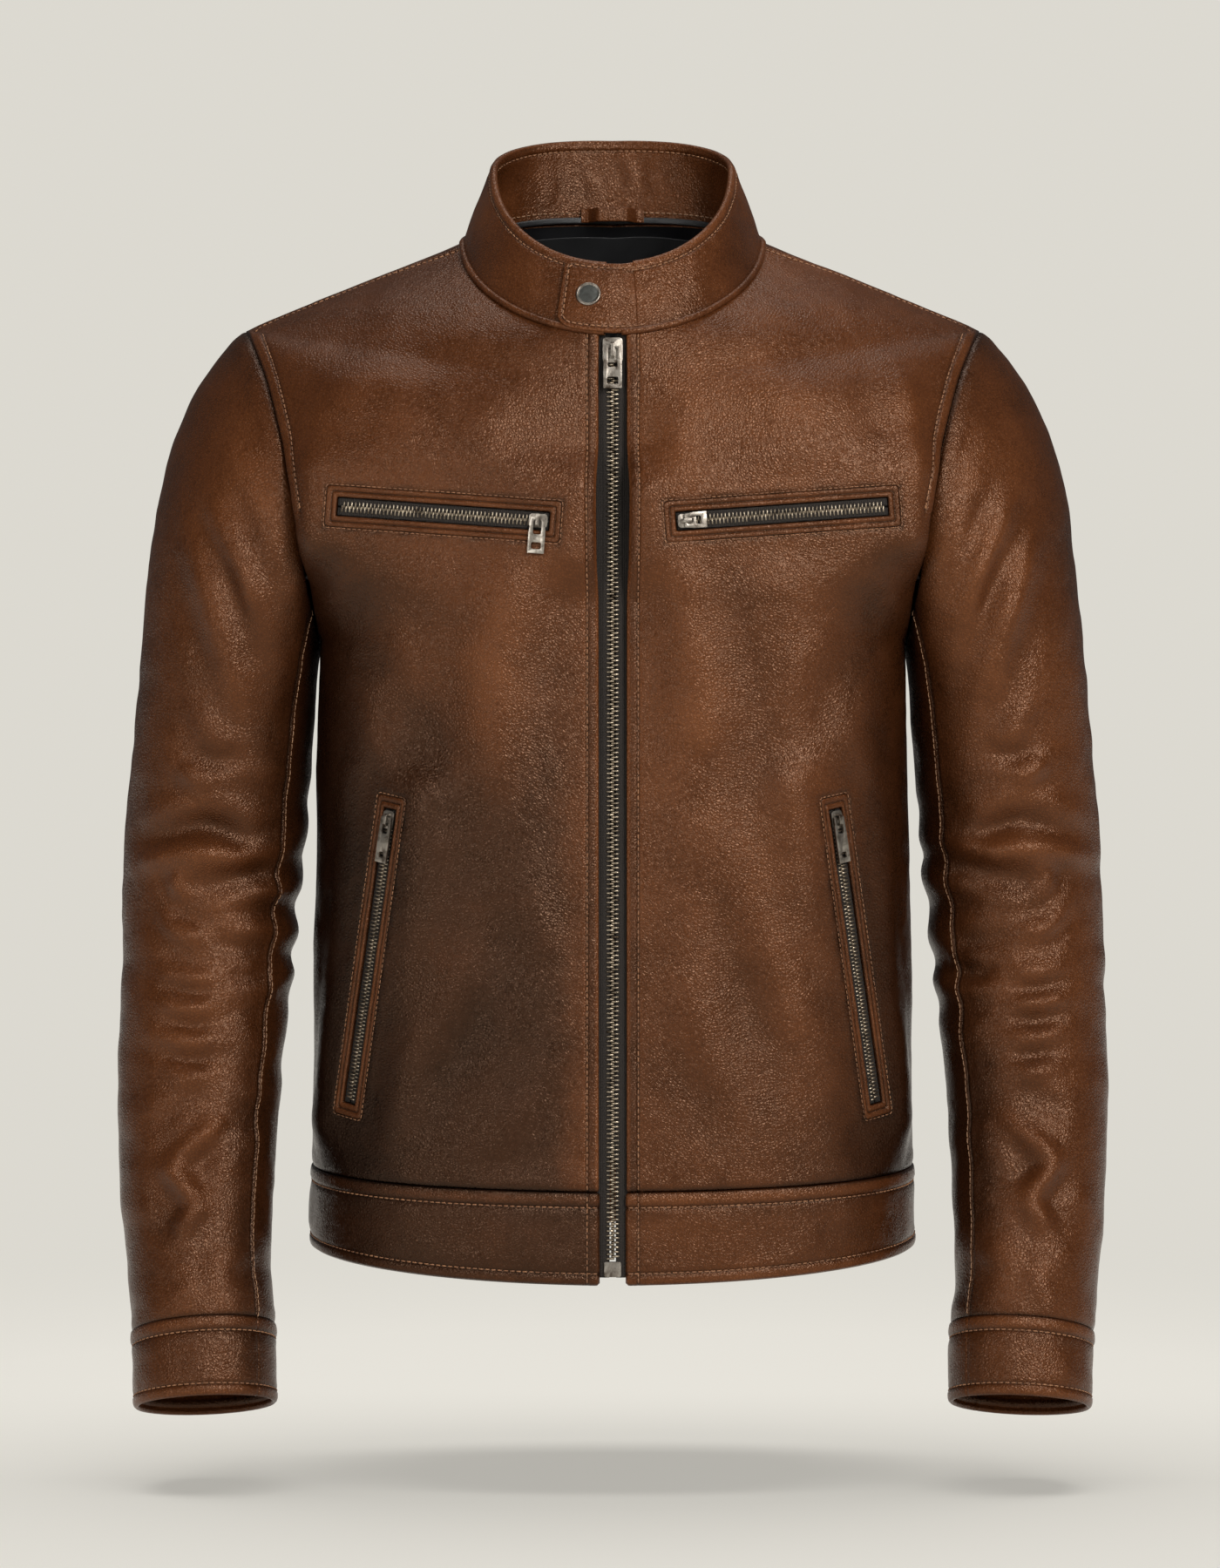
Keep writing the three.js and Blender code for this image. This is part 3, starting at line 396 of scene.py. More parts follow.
def from_border(p, border, spacing=0.4, reach=180):
    """Distance of every point of a grid from a border that its rows start or end at."""
    length = arcs(border, 0)
    marks = np.arange(0, length[-1] + spacing, spacing)
    line = along_line(marks, length, border)
    out = np.empty(p.shape[:2])
    for i, row in enumerate(p):
        k = int(length[i] / spacing)
        near = line[max(0, k - reach) : k + reach]
        out[i] = np.linalg.norm(row[:, None] - near, axis=-1).min(1)
    return out


def spread(surface, rows, t0, t1, low, high, step, fine=260):
    """A grid whose columns lie at set lengths in mm from both ends of each row.
    It gives the points and their distances from the borders where rows start and end."""
    t0 = np.broadcast_to(np.asarray(t0, float), rows.shape)
    t1 = np.broadcast_to(np.asarray(t1, float), rows.shape)
    s = np.linspace(0, 1, fine)
    t = t0[:, None] + (t1 - t0)[:, None] * s
    length = arcs(surface(rows[:, None] + 0 * t, t), 1)
    total = length[:, -1]
    middle = max(2, int(round((np.median(total) - low[-1] - high[-1]) / step)))
    share = np.linspace(0, 1, middle + 1)[1:-1]
    low, high = np.array(low, float), np.array(high, float)
    squeeze = np.minimum(1, total / (low[-1] + high[-1] + 4))[:, None]
    lows, highs = low * squeeze, total[:, None] - high[::-1] * squeeze
    between = lows[:, -1:] + (highs[:, :1] - lows[:, -1:]) * share
    marks = np.concatenate([lows, between, highs], 1)
    tt = np.stack([np.interp(m, d, x) for m, d, x in zip(marks, length, t)])
    p = surface(rows[:, None] + 0 * tt, tt)
    return p, tt, from_border(p, p[:, 0]), from_border(p, p[:, -1])


def normals(p, outward, wrap=False):
    """Unit normals of a grid, turned so that they point away from the points in outward."""
    da = np.gradient(p, axis=0)
    if wrap:
        db = np.roll(p, -1, 1) - np.roll(p, 1, 1)
    else:
        db = np.gradient(p, axis=1)
    n = unit(np.cross(da, db))
    sign = np.sign(np.sum(n * (p - outward)))
    return n * sign


def heights(p):
    """Lengths up from the foot of a grid and down from its top."""
    up = arcs(p, 0)
    return up, up[-1:] - up


def pushed(p, d, hub=None, wrap=False):
    """A grid moved out by d, and its normals. hub is a line inside the grid."""
    hub = p * vec(0, 0, 1) - vec(0, 0, 60) if hub is None else hub
    q = p + normals(p, hub, wrap) * d[..., None]
    return q, normals(q, hub, wrap)


def strokes(p, lines):
    """Drawn folds: each is (points, width, height) in the plane seen from the front."""
    x, z = p[..., 0], p[..., 2]
    out = np.zeros_like(x)
    for points, width, height in lines:
        q = spline([(a, b, 0) for a, b in points])(np.linspace(0, 1, 22))[:, :2]
        a, b = q[:-1], q[1:]
        best = np.full(x.shape, 1e9)
        share = np.zeros_like(x)
        for i, (s, e) in enumerate(zip(a, b)):
            d = e - s
            w = np.clip(((x - s[0]) * d[0] + (z - s[1]) * d[1]) / (d @ d), 0, 1)
            gap = np.hypot(x - s[0] - w * d[0], z - s[1] - w * d[1])
            nearer = gap < best
            best = np.where(nearer, gap, best)
            share = np.where(nearer, (i + w) / len(a), share)
        taper = np.sin(np.pi * np.clip(share * 0.96 + 0.02, 0, 1)) ** 0.7
        out += height * taper * (bell(best, width) - 0.4 * bell(best - 1.75 * width, 0.9 * width))
    return out


# ---------------------------------------------------------------- meshes
def to_frame(p):
    return (np.asarray(p, float).reshape(-1, 3) + ORIGIN) / 1000


def in_scene(name, data):
    obj = bpy.data.objects.new(name, data)
    bpy.context.scene.collection.objects.link(obj)
    return obj


def make(name, points, faces, mats, tone=None, index=None, vertex_normals=None):
    """An object from points in garment millimetres. tone goes from -1, dark, to 1, light, and carries painted
    shade and painted highlights as well as uneven colour.
    """
    mesh = bpy.data.meshes.new(name)
    co = to_frame(points)
    mesh.from_pydata(co.tolist(), [], [list(map(int, f)) for f in faces])
    mesh.polygons.foreach_set("use_smooth", np.ones(len(mesh.polygons), bool))
    if index is not None:
        mesh.polygons.foreach_set("material_index", np.asarray(index, np.int32))
    rest = mesh.attributes.new("rest", "FLOAT_VECTOR", "POINT")
    rest.data.foreach_set("vector", co.astype(np.float32).ravel())
    shade = mesh.attributes.new("tone", "FLOAT", "POINT")
    tone = np.zeros(len(co)) if tone is None else np.broadcast_to(tone, len(co))
    shade.data.foreach_set("value", np.ascontiguousarray(tone, np.float32))
    for mat in mats:
        mesh.materials.append(mat)
    mesh.update()
    if vertex_normals is not None:
        mesh.normals_split_custom_set_from_vertices(vertex_normals.tolist())
    return in_scene(name, mesh)


def mirrored(points, faces, side):
    """Left side as it is, right side mirrored with its faces turned round."""
    if side > 0:
        return points, faces
    points = points.copy()
    points[..., 0] *= -1
    return points, [f[::-1] for f in faces]


def sheet(name, p, n, thick, mats, tone=None, side=1, wrap=False, keep=None, smooth_ends=False,
          roll=1.0, inner_slot=0):
    """A closed sheet of leather or cloth: the grid p, the same grid thick below it, and rolled
    rims. keep is a mask of the grid's faces."""
    rows, cols = p.shape[:2]
    inner = p - n * thick
    points = [p.reshape(-1, 3), inner.reshape(-1, 3)]
    tones = np.zeros((rows, cols)) if tone is None else np.broadcast_to(tone, (rows, cols))
    tone_list = [tones.ravel(), tones.ravel()]
    normal_list = [n.reshape(-1, 3), -n.reshape(-1, 3)]
    size = rows * cols
    last = cols if wrap else cols - 1
    i, j = np.meshgrid(np.arange(rows - 1), np.arange(last), indexing="ij")
    if keep is not None:
        i, j = i[keep], j[keep]
    i, j = i.ravel(), j.ravel()
    k = (j + 1) % cols
    quads = np.stack([i * cols + j, i * cols + k, (i + 1) * cols + k, (i + 1) * cols + j], 1)
    probe = quads[len(quads) // 2]
    q = points[0][probe]
    turn = np.cross(q[2] - q[0], q[3] - q[1]) @ normal_list[0][probe[0]] < 0
    if turn:
        quads = quads[:, ::-1]
    faces = [*quads.tolist(), *(quads[:, ::-1] + size).tolist()]
    index = [0] * len(quads) + [inner_slot] * len(quads)
    # Borders of the grid get a rolled rim, borders of a hole a plain wall.
    edges = {}
    for f in quads.tolist():
        for a, b in zip(f, f[1:] + f[:1]):
            if (b, a) in edges:
                del edges[(b, a)]
            else:
                edges[(a, b)] = True
    grid_n = n.reshape(-1, 3)
    grid_p = p.reshape(-1, 3)
    steps = 3
    total = 2 * size
    rims = {}
    rim_edges = set()

    def rim(v, outward, key):
        nonlocal total
        ids = [v]
        for s in range(1, steps):
            angle = math.pi * s / steps
            shift = grid_n[v] * (math.cos(angle) - 1) + outward * (math.sin(angle) * roll)
            points.append((grid_p[v] + shift * thick / 2)[None])
            tone_list.append(tones.ravel()[v : v + 1] - 0.05)
            normal_list.append((grid_n[v] * math.cos(angle) + outward * math.sin(angle))[None])
            ids.append(total)
            total += 1
        ids.append(v + size)
        rims[key] = ids
        return ids

    def border(line, inside, tag):
        out = []
        for v, w in zip(line, inside):
            away = unit(grid_p[v] - grid_p[w])
            away = unit(away - grid_n[v] * away.dot(grid_n[v]))
            out.append(rim(v, away, (tag, v)))
        return out

    ids = np.arange(size).reshape(rows, cols)
    bands = [(ids[0], ids[1], "a"), (ids[-1], ids[-2], "b")]
    if not wrap:
        bands += [(ids[:, 0], ids[:, 1], "c"), (ids[:, -1], ids[:, -2], "d")]
    for line, inside, tag in bands:
        strip = border(line, inside, tag)
        pairs = list(zip(strip, strip[1:]))
        if wrap:
            pairs.append((strip[-1], strip[0]))
        for a, b in pairs:
            flip = (a[0], b[0]) in edges
            edges.pop((a[0], b[0]), None)
            edges.pop((b[0], a[0]), None)
            for s in range(steps):
                quad = [a[s], a[s + 1], b[s + 1], b[s]]
                quad = quad if flip else quad[::-1]
                rim_edges.update(zip(quad, quad[1:] + quad[:1]))
                faces.append(quad)
                index.append(0)
    if not wrap:
        for v, tag_a, tag_b in (
            (ids[0, 0], "a", "c"),
            (ids[0, -1], "a", "d"),
            (ids[-1, 0], "b", "c"),
            (ids[-1, -1], "b", "d"),
        ):
            a, b = rims[(tag_a, v)], rims[(tag_b, v)]
            for s in range(steps):
                used = (a[s], a[s + 1]) in rim_edges
                corner = [a[s + 1], a[s], b[s], b[s + 1]] if used else [a[s], a[s + 1], b[s + 1], b[s]]
                faces.append(list(dict.fromkeys(corner)))
                index.append(0)
    for a, b in edges:
        faces.append([a, a + size, b + size, b])
        index.append(0)
    points = np.concatenate(points)
    custom = None
    if smooth_ends:
        custom = np.concatenate(normal_list)
        if side < 0:
            custom = custom * vec(-1, 1, 1)
    used = np.zeros(len(points), bool)
    for f in faces:
        used[f] = True
    tones = np.concatenate(tone_list)
    if not used.all():
        fresh = np.cumsum(used) - 1
        faces = [[int(fresh[v]) for v in f] for f in faces]
        points, tones = points[used], tones[used]
        custom = None if custom is None else custom[used]
    points, faces = mirrored(points, faces, side)
    return make(name, points, faces, mats, tones, index, custom)


def skin(count, m, closed=False):
    """Faces over count rings of m points each. Open ends get a cap."""
    faces = []
    for i in range(count if closed else count - 1):
        a, b = i * m, (i + 1) % count * m
        faces += [[a + j, a + (j + 1) % m, b + (j + 1) % m, b + j] for j in range(m)]
    if not closed:
        faces += [list(range(m))[::-1], list(range((count - 1) * m, count * m))]
    return faces


def circle(count):
    return np.linspace(0, 2 * np.pi, count, endpoint=False)


def rounded_ring(half_u, half_v, r, count=(0, 0), steps=5):
    """Points round a rectangle with round corners, count of them between the corners."""
    corners = []
    for su, sv, start in ((1, 1, 0), (-1, 1, 1), (-1, -1, 2), (1, -1, 3)):
        a = np.linspace(0, np.pi / 2, steps) + start * np.pi / 2
        corners.append(np.stack([su * (half_u - r) + r * np.cos(a), sv * (half_v - r) + r * np.sin(a)], 1))
    points = []
    for i, corner in enumerate(corners):
        w = np.linspace(0, 1, count[i % 2] + 2)[1:-1, None]
        points += [corner, corner[-1] + (corners[(i + 1) % 4][0] - corner[-1]) * w]
    return np.concatenate(points)


def tube(path, radius, sides, up):
    """Points and faces of a round cord along a path. up gives the direction of its height."""
    path = np.asarray(path, float)
    along = unit(np.gradient(path, axis=0))
    side = unit(np.cross(along, np.broadcast_to(up, path.shape)))
    up = np.cross(side, along)
    a = circle(sides)
    ring = side[:, None] * np.cos(a)[:, None] + up[:, None] * np.sin(a)[:, None]
    return (path[:, None] + ring * radius).reshape(-1, 3), skin(len(path), sides)


def joined(parts):
    points, faces, start = [], [], 0
    for p, f in parts:
        points.append(p)
        faces += [[v + start for v in face] for face in f]
        start += len(p)
    return np.concatenate(points), faces


def along_line(marks, length, line):
    """The points of a line at the given lengths."""
    return np.stack([np.interp(marks, length, line[:, c]) for c in range(3)], -1)


def repeated(faces, size, count):
    """The faces of count copies of a body of size points."""
    return [[v + i * size for v in f] for i in range(count) for f in faces]


# Along the stitch, over its foot and across it, as shares of its length and radius.
STITCH_SPOTS = ((-0.5, -0.9, 0.55), (-0.36, 0.1, 1.0), (0.0, 0.45, 1.05), (0.36, 0.1, 1.0), (0.5, -0.9, 0.55))


def stitch_parts(path, up, pitch=3.8, length=2.9, radius=0.42, lift=0.22):
    """A row of thread stitches along a path, each a short bowed capsule sunk at its ends."""
    path, up = np.asarray(path, float), np.asarray(up, float)
    total = arcs(path, 0)
    marks = np.arange(pitch / 2, total[-1], pitch)
    at = along_line(marks, total, path)
    n = unit(along_line(marks, total, up))
    u = unit(along_line(marks + 0.5, total, path) - along_line(marks - 0.5, total, path))
    n = unit(n - u * np.sum(u * n, -1, keepdims=True))
    v = np.cross(n, u)
    sides = 6
    a = circle(sides)
    rings = []
    for share, height, size in STITCH_SPOTS:
        centre = at + u * (share * length) + n * (lift + height * radius)
        ring = v[:, None] * np.cos(a)[:, None] + n[:, None] * np.sin(a)[:, None]
        rings.append(centre[:, None] + ring * (radius * size))
    faces = repeated(skin(len(rings), sides), len(rings) * sides, len(at))
    return np.stack(rings, 1).reshape(-1, 3), faces


def trace(p, n, distance, target, from_end=False):
    """The line of a grid where distance, which grows along each row, has the target value."""
    if from_end:
        p, n, distance = p[:, ::-1], n[:, ::-1], distance[:, ::-1]
    line, up = [], []
    for q, m, d in zip(p, n, distance):
        if d[-1] < target:
            continue
        line.append(along_line(target, d, q))
        up.append(along_line(target, d, m))
    return np.array(line), unit(np.array(up))


def stitches(name, lines, side=1, mat=None, **how):
    parts = [stitch_parts(path, up, **how) for path, up in lines if len(path) > 1]
    points, faces = mirrored(*joined(parts), side)
    return make(name, points, faces, [mat or THREAD])


# ---------------------------------------------------------------- materials
def new_material(name):
    mat = bpy.data.materials.new(name)
    mat.use_nodes = True
    tree = mat.node_tree
    return mat, tree, tree.nodes["Principled BSDF"]


def node(tree, kind, **values):
    made = tree.nodes.new(kind)
    for key, value in values.items():
        if hasattr(made, key):
            setattr(made, key, value)
        else:
            made.inputs[key].default_value = value
    return made


def attribute(tree, name):
    return node(tree, "ShaderNodeAttribute", attribute_name=name)


def sum_of(tree, first, second, factor):
    made = node(tree, "ShaderNodeMath", operation="MULTIPLY_ADD")
    tree.links.new(second, made.inputs[0])
    made.inputs[1].default_value = factor
    tree.links.new(first, made.inputs[2])
    return made.outputs[0]


def ramp(tree, value, stops):
    made = node(tree, "ShaderNodeValToRGB")
    elements = made.color_ramp.elements
    while len(elements) < len(stops):
        elements.new(0.5)
    for element, (place, color) in zip(elements, stops):
        element.position = place
        element.color = (*color, 1)
    tree.links.new(value, made.inputs[0])
    return made.outputs[0]


def noise_node(tree, vector, scale, detail=3.0, rough=0.5, distortion=0.0):
    values = {"Scale": scale, "Detail": detail, "Roughness": rough, "Distortion": distortion}
    return texture(tree, "Noise", vector, **values).outputs["Fac"]


def map_range(tree, value, low, high, to_low=0.0, to_high=1.0):
    made = node(tree, "ShaderNodeMapRange")
    for key, number in zip(("From Min", "From Max", "To Min", "To Max"), (low, high, to_low, to_high)):
        made.inputs[key].default_value = number
    tree.links.new(value, made.inputs["Value"])
    return made.outputs["Result"]


def texture(tree, kind, vector, **values):
    made = node(tree, "ShaderNodeTex" + kind, **values)
    tree.links.new(vector, made.inputs["Vector"])
    return made


def bumped(mat, shader, height, strength, distance):
    tree = mat.node_tree
    bump = node(tree, "ShaderNodeBump", Strength=strength, Distance=distance)
    tree.links.new(height, bump.inputs["Height"])
    tree.links.new(bump.outputs["Normal"], shader.inputs["Normal"])
    return mat


HIDE_COLORS = (
    (0.02, (0.005, 0.0021, 0.0012)),
    (0.30, (0.030, 0.0094, 0.0030)),
    (0.52, (0.081, 0.0245, 0.0070)),
    (0.78, (0.160, 0.052, 0.0160)),
    (1.0, (0.27, 0.115, 0.05)),
)


def leather_material(name):
    """Pebbled brown leather, mottled by hand dyeing, darker in the hollows of its grain; the tone attribute
    adds the meshes' painted shade and painted highlights.
    """
    mat, tree, shader = new_material(name)
    link = tree.links.new
    rest = attribute(tree, "rest").outputs["Vector"]
    tone = attribute(tree, "tone").outputs["Fac"]
    patches = noise_node(tree, rest, 7.0, 3.0, 0.55, 0.4)
    clouds = noise_node(tree, rest, 34.0, 4.0, 0.6, 0.3)
    specks = noise_node(tree, rest, 420.0, 2.0, 0.6)
    value = map_range(tree, patches, 0.3, 0.7, -0.07, 0.07)
    value = sum_of(tree, value, map_range(tree, clouds, 0.3, 0.7, -1, 1), 0.05)
    value = sum_of(tree, value, map_range(tree, specks, 0.3, 0.7, -1, 1), 0.03)
    # The tone attribute holds painted shade and painted highlights from the meshes.
    value = sum_of(tree, value, tone, 0.32)
    shift = node(tree, "ShaderNodeMath", operation="ADD")
    link(value, shift.inputs[0])
    shift.inputs[1].default_value = 0.5
    # The grain: rounded pebbles parted by fine creases, of uneven size.
    wobble = texture(tree, "Noise", rest, Scale=300.0, Detail=2.0)
    bend = node(tree, "ShaderNodeVectorMath", operation="MULTIPLY_ADD")
    link(wobble.outputs["Color"], bend.inputs[0])
    bend.inputs[1].default_value = (0.0016, 0.0016, 0.0016)
    link(rest, bend.inputs[2])
    cells, small = (
        texture(tree, "Voronoi", bend.outputs[0], feature="DISTANCE_TO_EDGE", Scale=scale)
        for scale in (540.0, 1150.0)
    )
    pebbles = map_range(tree, cells.outputs["Distance"], 0.0, 0.45)
    fine = map_range(tree, small.outputs["Distance"], 0.0, 0.3)
    height = sum_of(tree, pebbles, fine, 0.15)
    height = sum_of(tree, height, noise_node(tree, rest, 160.0, 3.0), 0.8)
    height = sum_of(tree, height, noise_node(tree, rest, 62.0, 3.0, 0.5, 0.4), 2.2)
    color = ramp(tree, shift.outputs[0], HIDE_COLORS)
    crease = node(tree, "ShaderNodeMix", data_type="RGBA", blend_type="MULTIPLY")
    link(map_range(tree, cells.outputs["Distance"], 0.0, 0.22, 0.5, 0.0), crease.inputs["Factor"])
    link(color, crease.inputs["A"])
    crease.inputs["B"].default_value = (0.32, 0.26, 0.23, 1)
    link(crease.outputs["Result"], shader.inputs["Base Color"])
    rough = map_range(tree, clouds, 0.3, 0.7, 0.25, 0.34)
    rough = sum_of(tree, rough, map_range(tree, specks, 0.3, 0.7, -1, 1), 0.04)
    link(rough, shader.inputs["Roughness"])
    shader.inputs["Specular IOR Level"].default_value = 0.5
    shader.inputs["Specular Tint"].default_value = (1.0, 0.6, 0.4, 1)
    return bumped(mat, shader, height, 0.5, 0.00045)


def satin_material():
    mat, tree, shader = new_material("satin")
    link = tree.links.new
    rest = attribute(tree, "rest").outputs["Vector"]
    soft = noise_node(tree, rest, 18.0, 4.0, 0.55, 0.6)
    weave = texture(tree, "Wave", rest, Scale=900.0, Distortion=0.6, bands_direction="DIAGONAL")
    link(ramp(tree, soft, [(0.3, (0.005, 0.005, 0.006)), (0.75, (0.014, 0.0145, 0.016))]),
         shader.inputs["Base Color"])
    link(map_range(tree, soft, 0.3, 0.7, 0.34, 0.5), shader.inputs["Roughness"])
    height = sum_of(tree, map_range(tree, soft, 0.0, 1.0), weave.outputs["Fac"], 0.03)
    return bumped(mat, shader, height, 0.5, 0.003)


def tape_material():
    """Herringbone tape of the zips."""
    mat, tree, shader = new_material("zip_tape")
    link = tree.links.new
    rest = attribute(tree, "rest").outputs["Vector"]
    across = texture(tree, "Wave", rest, Scale=260.0, bands_direction="X")
    along = texture(tree, "Wave", rest, Scale=420.0, bands_direction="Z", Distortion=1.0)
    height = sum_of(tree, across.outputs["Fac"], along.outputs["Fac"], 0.8)
    link(ramp(tree, map_range(tree, height, 0.0, 1.8),
              [(0.0, (0.004, 0.003, 0.0025)), (1.0, (0.028, 0.02, 0.015))]), shader.inputs["Base Color"])
    shader.inputs["Roughness"].default_value = 0.85
    return bumped(mat, shader, height, 0.7, 0.0003)


def metal_material(name, light, dark, rough):
    """Antiqued metal: bright and brown in patches of noise."""
    mat, tree, shader = new_material(name)
    link = tree.links.new
    place = node(tree, "ShaderNodeTexCoord").outputs["Object"]
    patina = noise_node(tree, place, 170.0, 5.0, 0.65, 0.5)
    fine = noise_node(tree, place, 1400.0, 2.0)
    link(ramp(tree, patina, [(0.32, dark), (0.6, light)]), shader.inputs["Base Color"])
    shader.inputs["Metallic"].default_value = 1.0
    link(map_range(tree, patina, 0.3, 0.7, rough + 0.14, rough), shader.inputs["Roughness"])
    return bumped(mat, shader, fine, 0.25, 0.0001)


def thread_material(name, dark, light):
    mat, tree, shader = new_material(name)
    link = tree.links.new
    rest = attribute(tree, "rest").outputs["Vector"]
    wave = texture(tree, "Wave", rest, Scale=700.0, bands_direction="DIAGONAL")
    patches = noise_node(tree, rest, 60.0, 2.0)
    value = sum_of(tree, map_range(tree, patches, 0.3, 0.7), wave.outputs["Fac"], 0.3)
    link(ramp(tree, value, [(0.1, dark), (1.0, light)]), shader.inputs["Base Color"])
    shader.inputs["Roughness"].default_value = 0.5
    return bumped(mat, shader, wave.outputs["Fac"], 0.5, 0.0001)


HIDE = leather_material("leather")
SATIN = satin_material()
TAPE = tape_material()
THREAD = thread_material("thread", (0.13, 0.052, 0.022), (0.32, 0.15, 0.07))
PALE_THREAD = thread_material("pale_thread", (0.16, 0.08, 0.04), (0.36, 0.2, 0.11))
NICKEL = metal_material("nickel", (0.42, 0.38, 0.33), (0.07, 0.052, 0.038), 0.3)
TEETH = metal_material("zip_teeth", (0.44, 0.37, 0.28), (0.06, 0.042, 0.028), 0.3)
BRASS = metal_material("snap_brass", (0.32, 0.25, 0.15), (0.08, 0.055, 0.03), 0.34)
ENAMEL = metal_material("dark_metal", (0.13, 0.135, 0.125), (0.06, 0.06, 0.055), 0.42)


def refined(name, mat, width):
    """A copy of a CAD piece of hardware with its edges rounded off, width in mm."""
    source = NODES[name]
    mesh = bpy.data.meshes.new(name + "_fine")
    bm = bmesh.new()
    bm.from_mesh(source.data)
    bmesh.ops.remove_doubles(bm, verts=bm.verts, dist=2e-6)
    bmesh.ops.dissolve_limit(bm, angle_limit=math.radians(2), verts=bm.verts, edges=bm.edges)
    sharp = [e for e in bm.edges if e.is_manifold and e.calc_face_angle(0) > math.radians(35)]
    bmesh.ops.bevel(bm, geom=sharp, offset=width / 1000, segments=2, profile=0.6,
                    affect="EDGES", clamp_overlap=True)
    bm.normal_update()
    for face in bm.faces:
        face.smooth = True
    for e in bm.edges:
        if e.is_manifold and e.calc_face_angle(0) > math.radians(50):
            e.smooth = False
    bm.to_mesh(mesh)
    bm.free()
    mesh.materials.append(mat)
    obj = in_scene(name + "_fine", mesh)
    body = next(b for b, members in frame["record"]["behaviour"]["bodies"].items() if name in members)
    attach(obj, body)
    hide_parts(name)


def place(obj, body, slot, *nodes):
    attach(obj, body)
    if nodes:
        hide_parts(*nodes)


def loft(name, rings, tone, side=1, ring_closed=False):
    """A closed body of leather from rings of points, each ring a closed line."""
    n, m = rings.shape[:2]
    points = rings.reshape(-1, 3)
    faces = skin(n, m, ring_closed)
    f = np.array(faces[: n * m - m])
    a, b, c, d = (points[f[:, i]] for i in range(4))
    volume = np.sum(np.cross(a, b) * c) + np.sum(np.cross(a, c) * d)
    if volume < 0:
        faces = [x[::-1] for x in faces]
    points, faces = mirrored(points, faces, side)
    obj = make(name, points, faces, [HIDE], tone.ravel())
    for polygon in obj.data.polygons[(n if ring_closed else n - 1) * m :]:
        polygon.use_smooth = False
    return obj


# ---------------------------------------------------------------- body panels
SEAM_SHARE = 0.998
STITCH_IN = 6.3  # placket's topstitch from its edge
ARM_STRIP = 8.2
SHOULDER_STITCH = 5.0
STRIP_TOP_Z = 461  # the armhole's strip ends here
FINE_LOW = [0, 0.5, 1.2, 2.2, 3.6, 4.8, 5.6, 6.2, 6.8, 7.6, 9, 11]
FINE_HIGH = [0, 0.5, 1.2, 2.2, 3.6, 4.4, 5.0, 5.6, 6.6, 7.5, 8.1, 8.7, 9.6, 11.2, 13.4]
EDGE_MARKS = [0, 0.6, 1.5, 2.8, 4.6]
STEP = 2.9


ARM_ROW, SHOULDER_ROW = 4, 8  # rows where the armhole and the shoulder seam start


def panel_rows(surface):
    rows = row_marks(surface, 0.45, 1.012, ROWS, EDGE_MARKS, EDGE_MARKS, STEP)
    rows[np.argmin(np.abs(rows - SHOULDER_ROW))] = SHOULDER_ROW
    return rows


def seam_zones(rows, z):
    """How far each point belongs to the armhole's strip and to the shoulder seam, and the strip's rows."""
    row = rows[:, None] + 0 * z
    arm = ease((row - ARM_ROW) / 0.15) * ease((SHOULDER_ROW - row) / 0.02)
    strip = arm * ease((z - STRIP_TOP_Z + 6) / 8)
    arm_rows = (rows > ARM_ROW + 0.2) & (rows < SHOULDER_ROW - 0.03) & (z[:, -1] > STRIP_TOP_Z)
    return strip, ease((row - SHOULDER_ROW + 0.02) / 0.03), arm_rows


def ahead(row):
    """Share of a front's row that lies under half of the zip."""
    return PLACKET_X / (3 * front_pull(row / ROWS)[..., 0])


def channel(d, at, depth):
    """The line of a topstitch: a narrow dip with the leather swelling on both sides."""
    return -depth * bell(d - at, 0.75) + 0.35 * depth * bell(np.abs(d - at) - 2.6, 1.5)


def plateau(d, low, high):
    return ease((d - low) / 0.9) * ease((high - d) / 0.9)


# Soft folds, each given as points, width and height. The two fronts differ.
RIGHT_FOLDS = (
    (((52, 470), (62, 400), (72, 340), (77, 285)), 20, 3.6),
    (((88, 370), (108, 327), (105, 290), (96, 262)), 22, -2.6),
    (((50, 240), (44, 214), (36, 190)), 13, 2.0), (((56, 225), (93, 139), (117, 104)), 15, -2.2),
    (((76, 205), (104, 150), (134, 90)), 14, 1.9), (((150, 380), (128, 350), (118, 318)), 12, -1.6),
    (((158, 350), (146, 322), (150, 292)), 11, 1.4), (((26, 160), (60, 96), (110, 66)), 11, 1.0),
    (((150, 430), (168, 412), (176, 396)), 8, 1.2), (((120, 566), (150, 540), (176, 500)), 17, 1.4),
    (((70, 560), (96, 520), (104, 490)), 17, -1.2),
)
LEFT_FOLDS = (
    (((36, 530), (40, 460), (44, 390), (54, 310)), 17, 3.4),
    (((82, 392), (92, 340), (84, 300), (98, 262)), 21, -2.2),
    (((92, 206), (104, 170), (112, 140)), 13, 1.9), (((60, 240), (76, 190), (96, 120)), 14, -1.6),
    (((40, 190), (54, 140), (88, 84)), 13, 1.3), (((148, 384), (126, 352), (120, 322)), 11, -1.6),
    (((160, 356), (146, 326), (152, 296)), 10, 1.3), (((150, 430), (168, 412), (176, 396)), 8, 1.2),
    (((174, 548), (180, 512), (190, 474)), 12, 2.2), (((120, 560), (150, 536), (160, 500)), 14, -1.0),
    (((84, 560), (108, 524), (120, 490)), 15, 1.0),
)
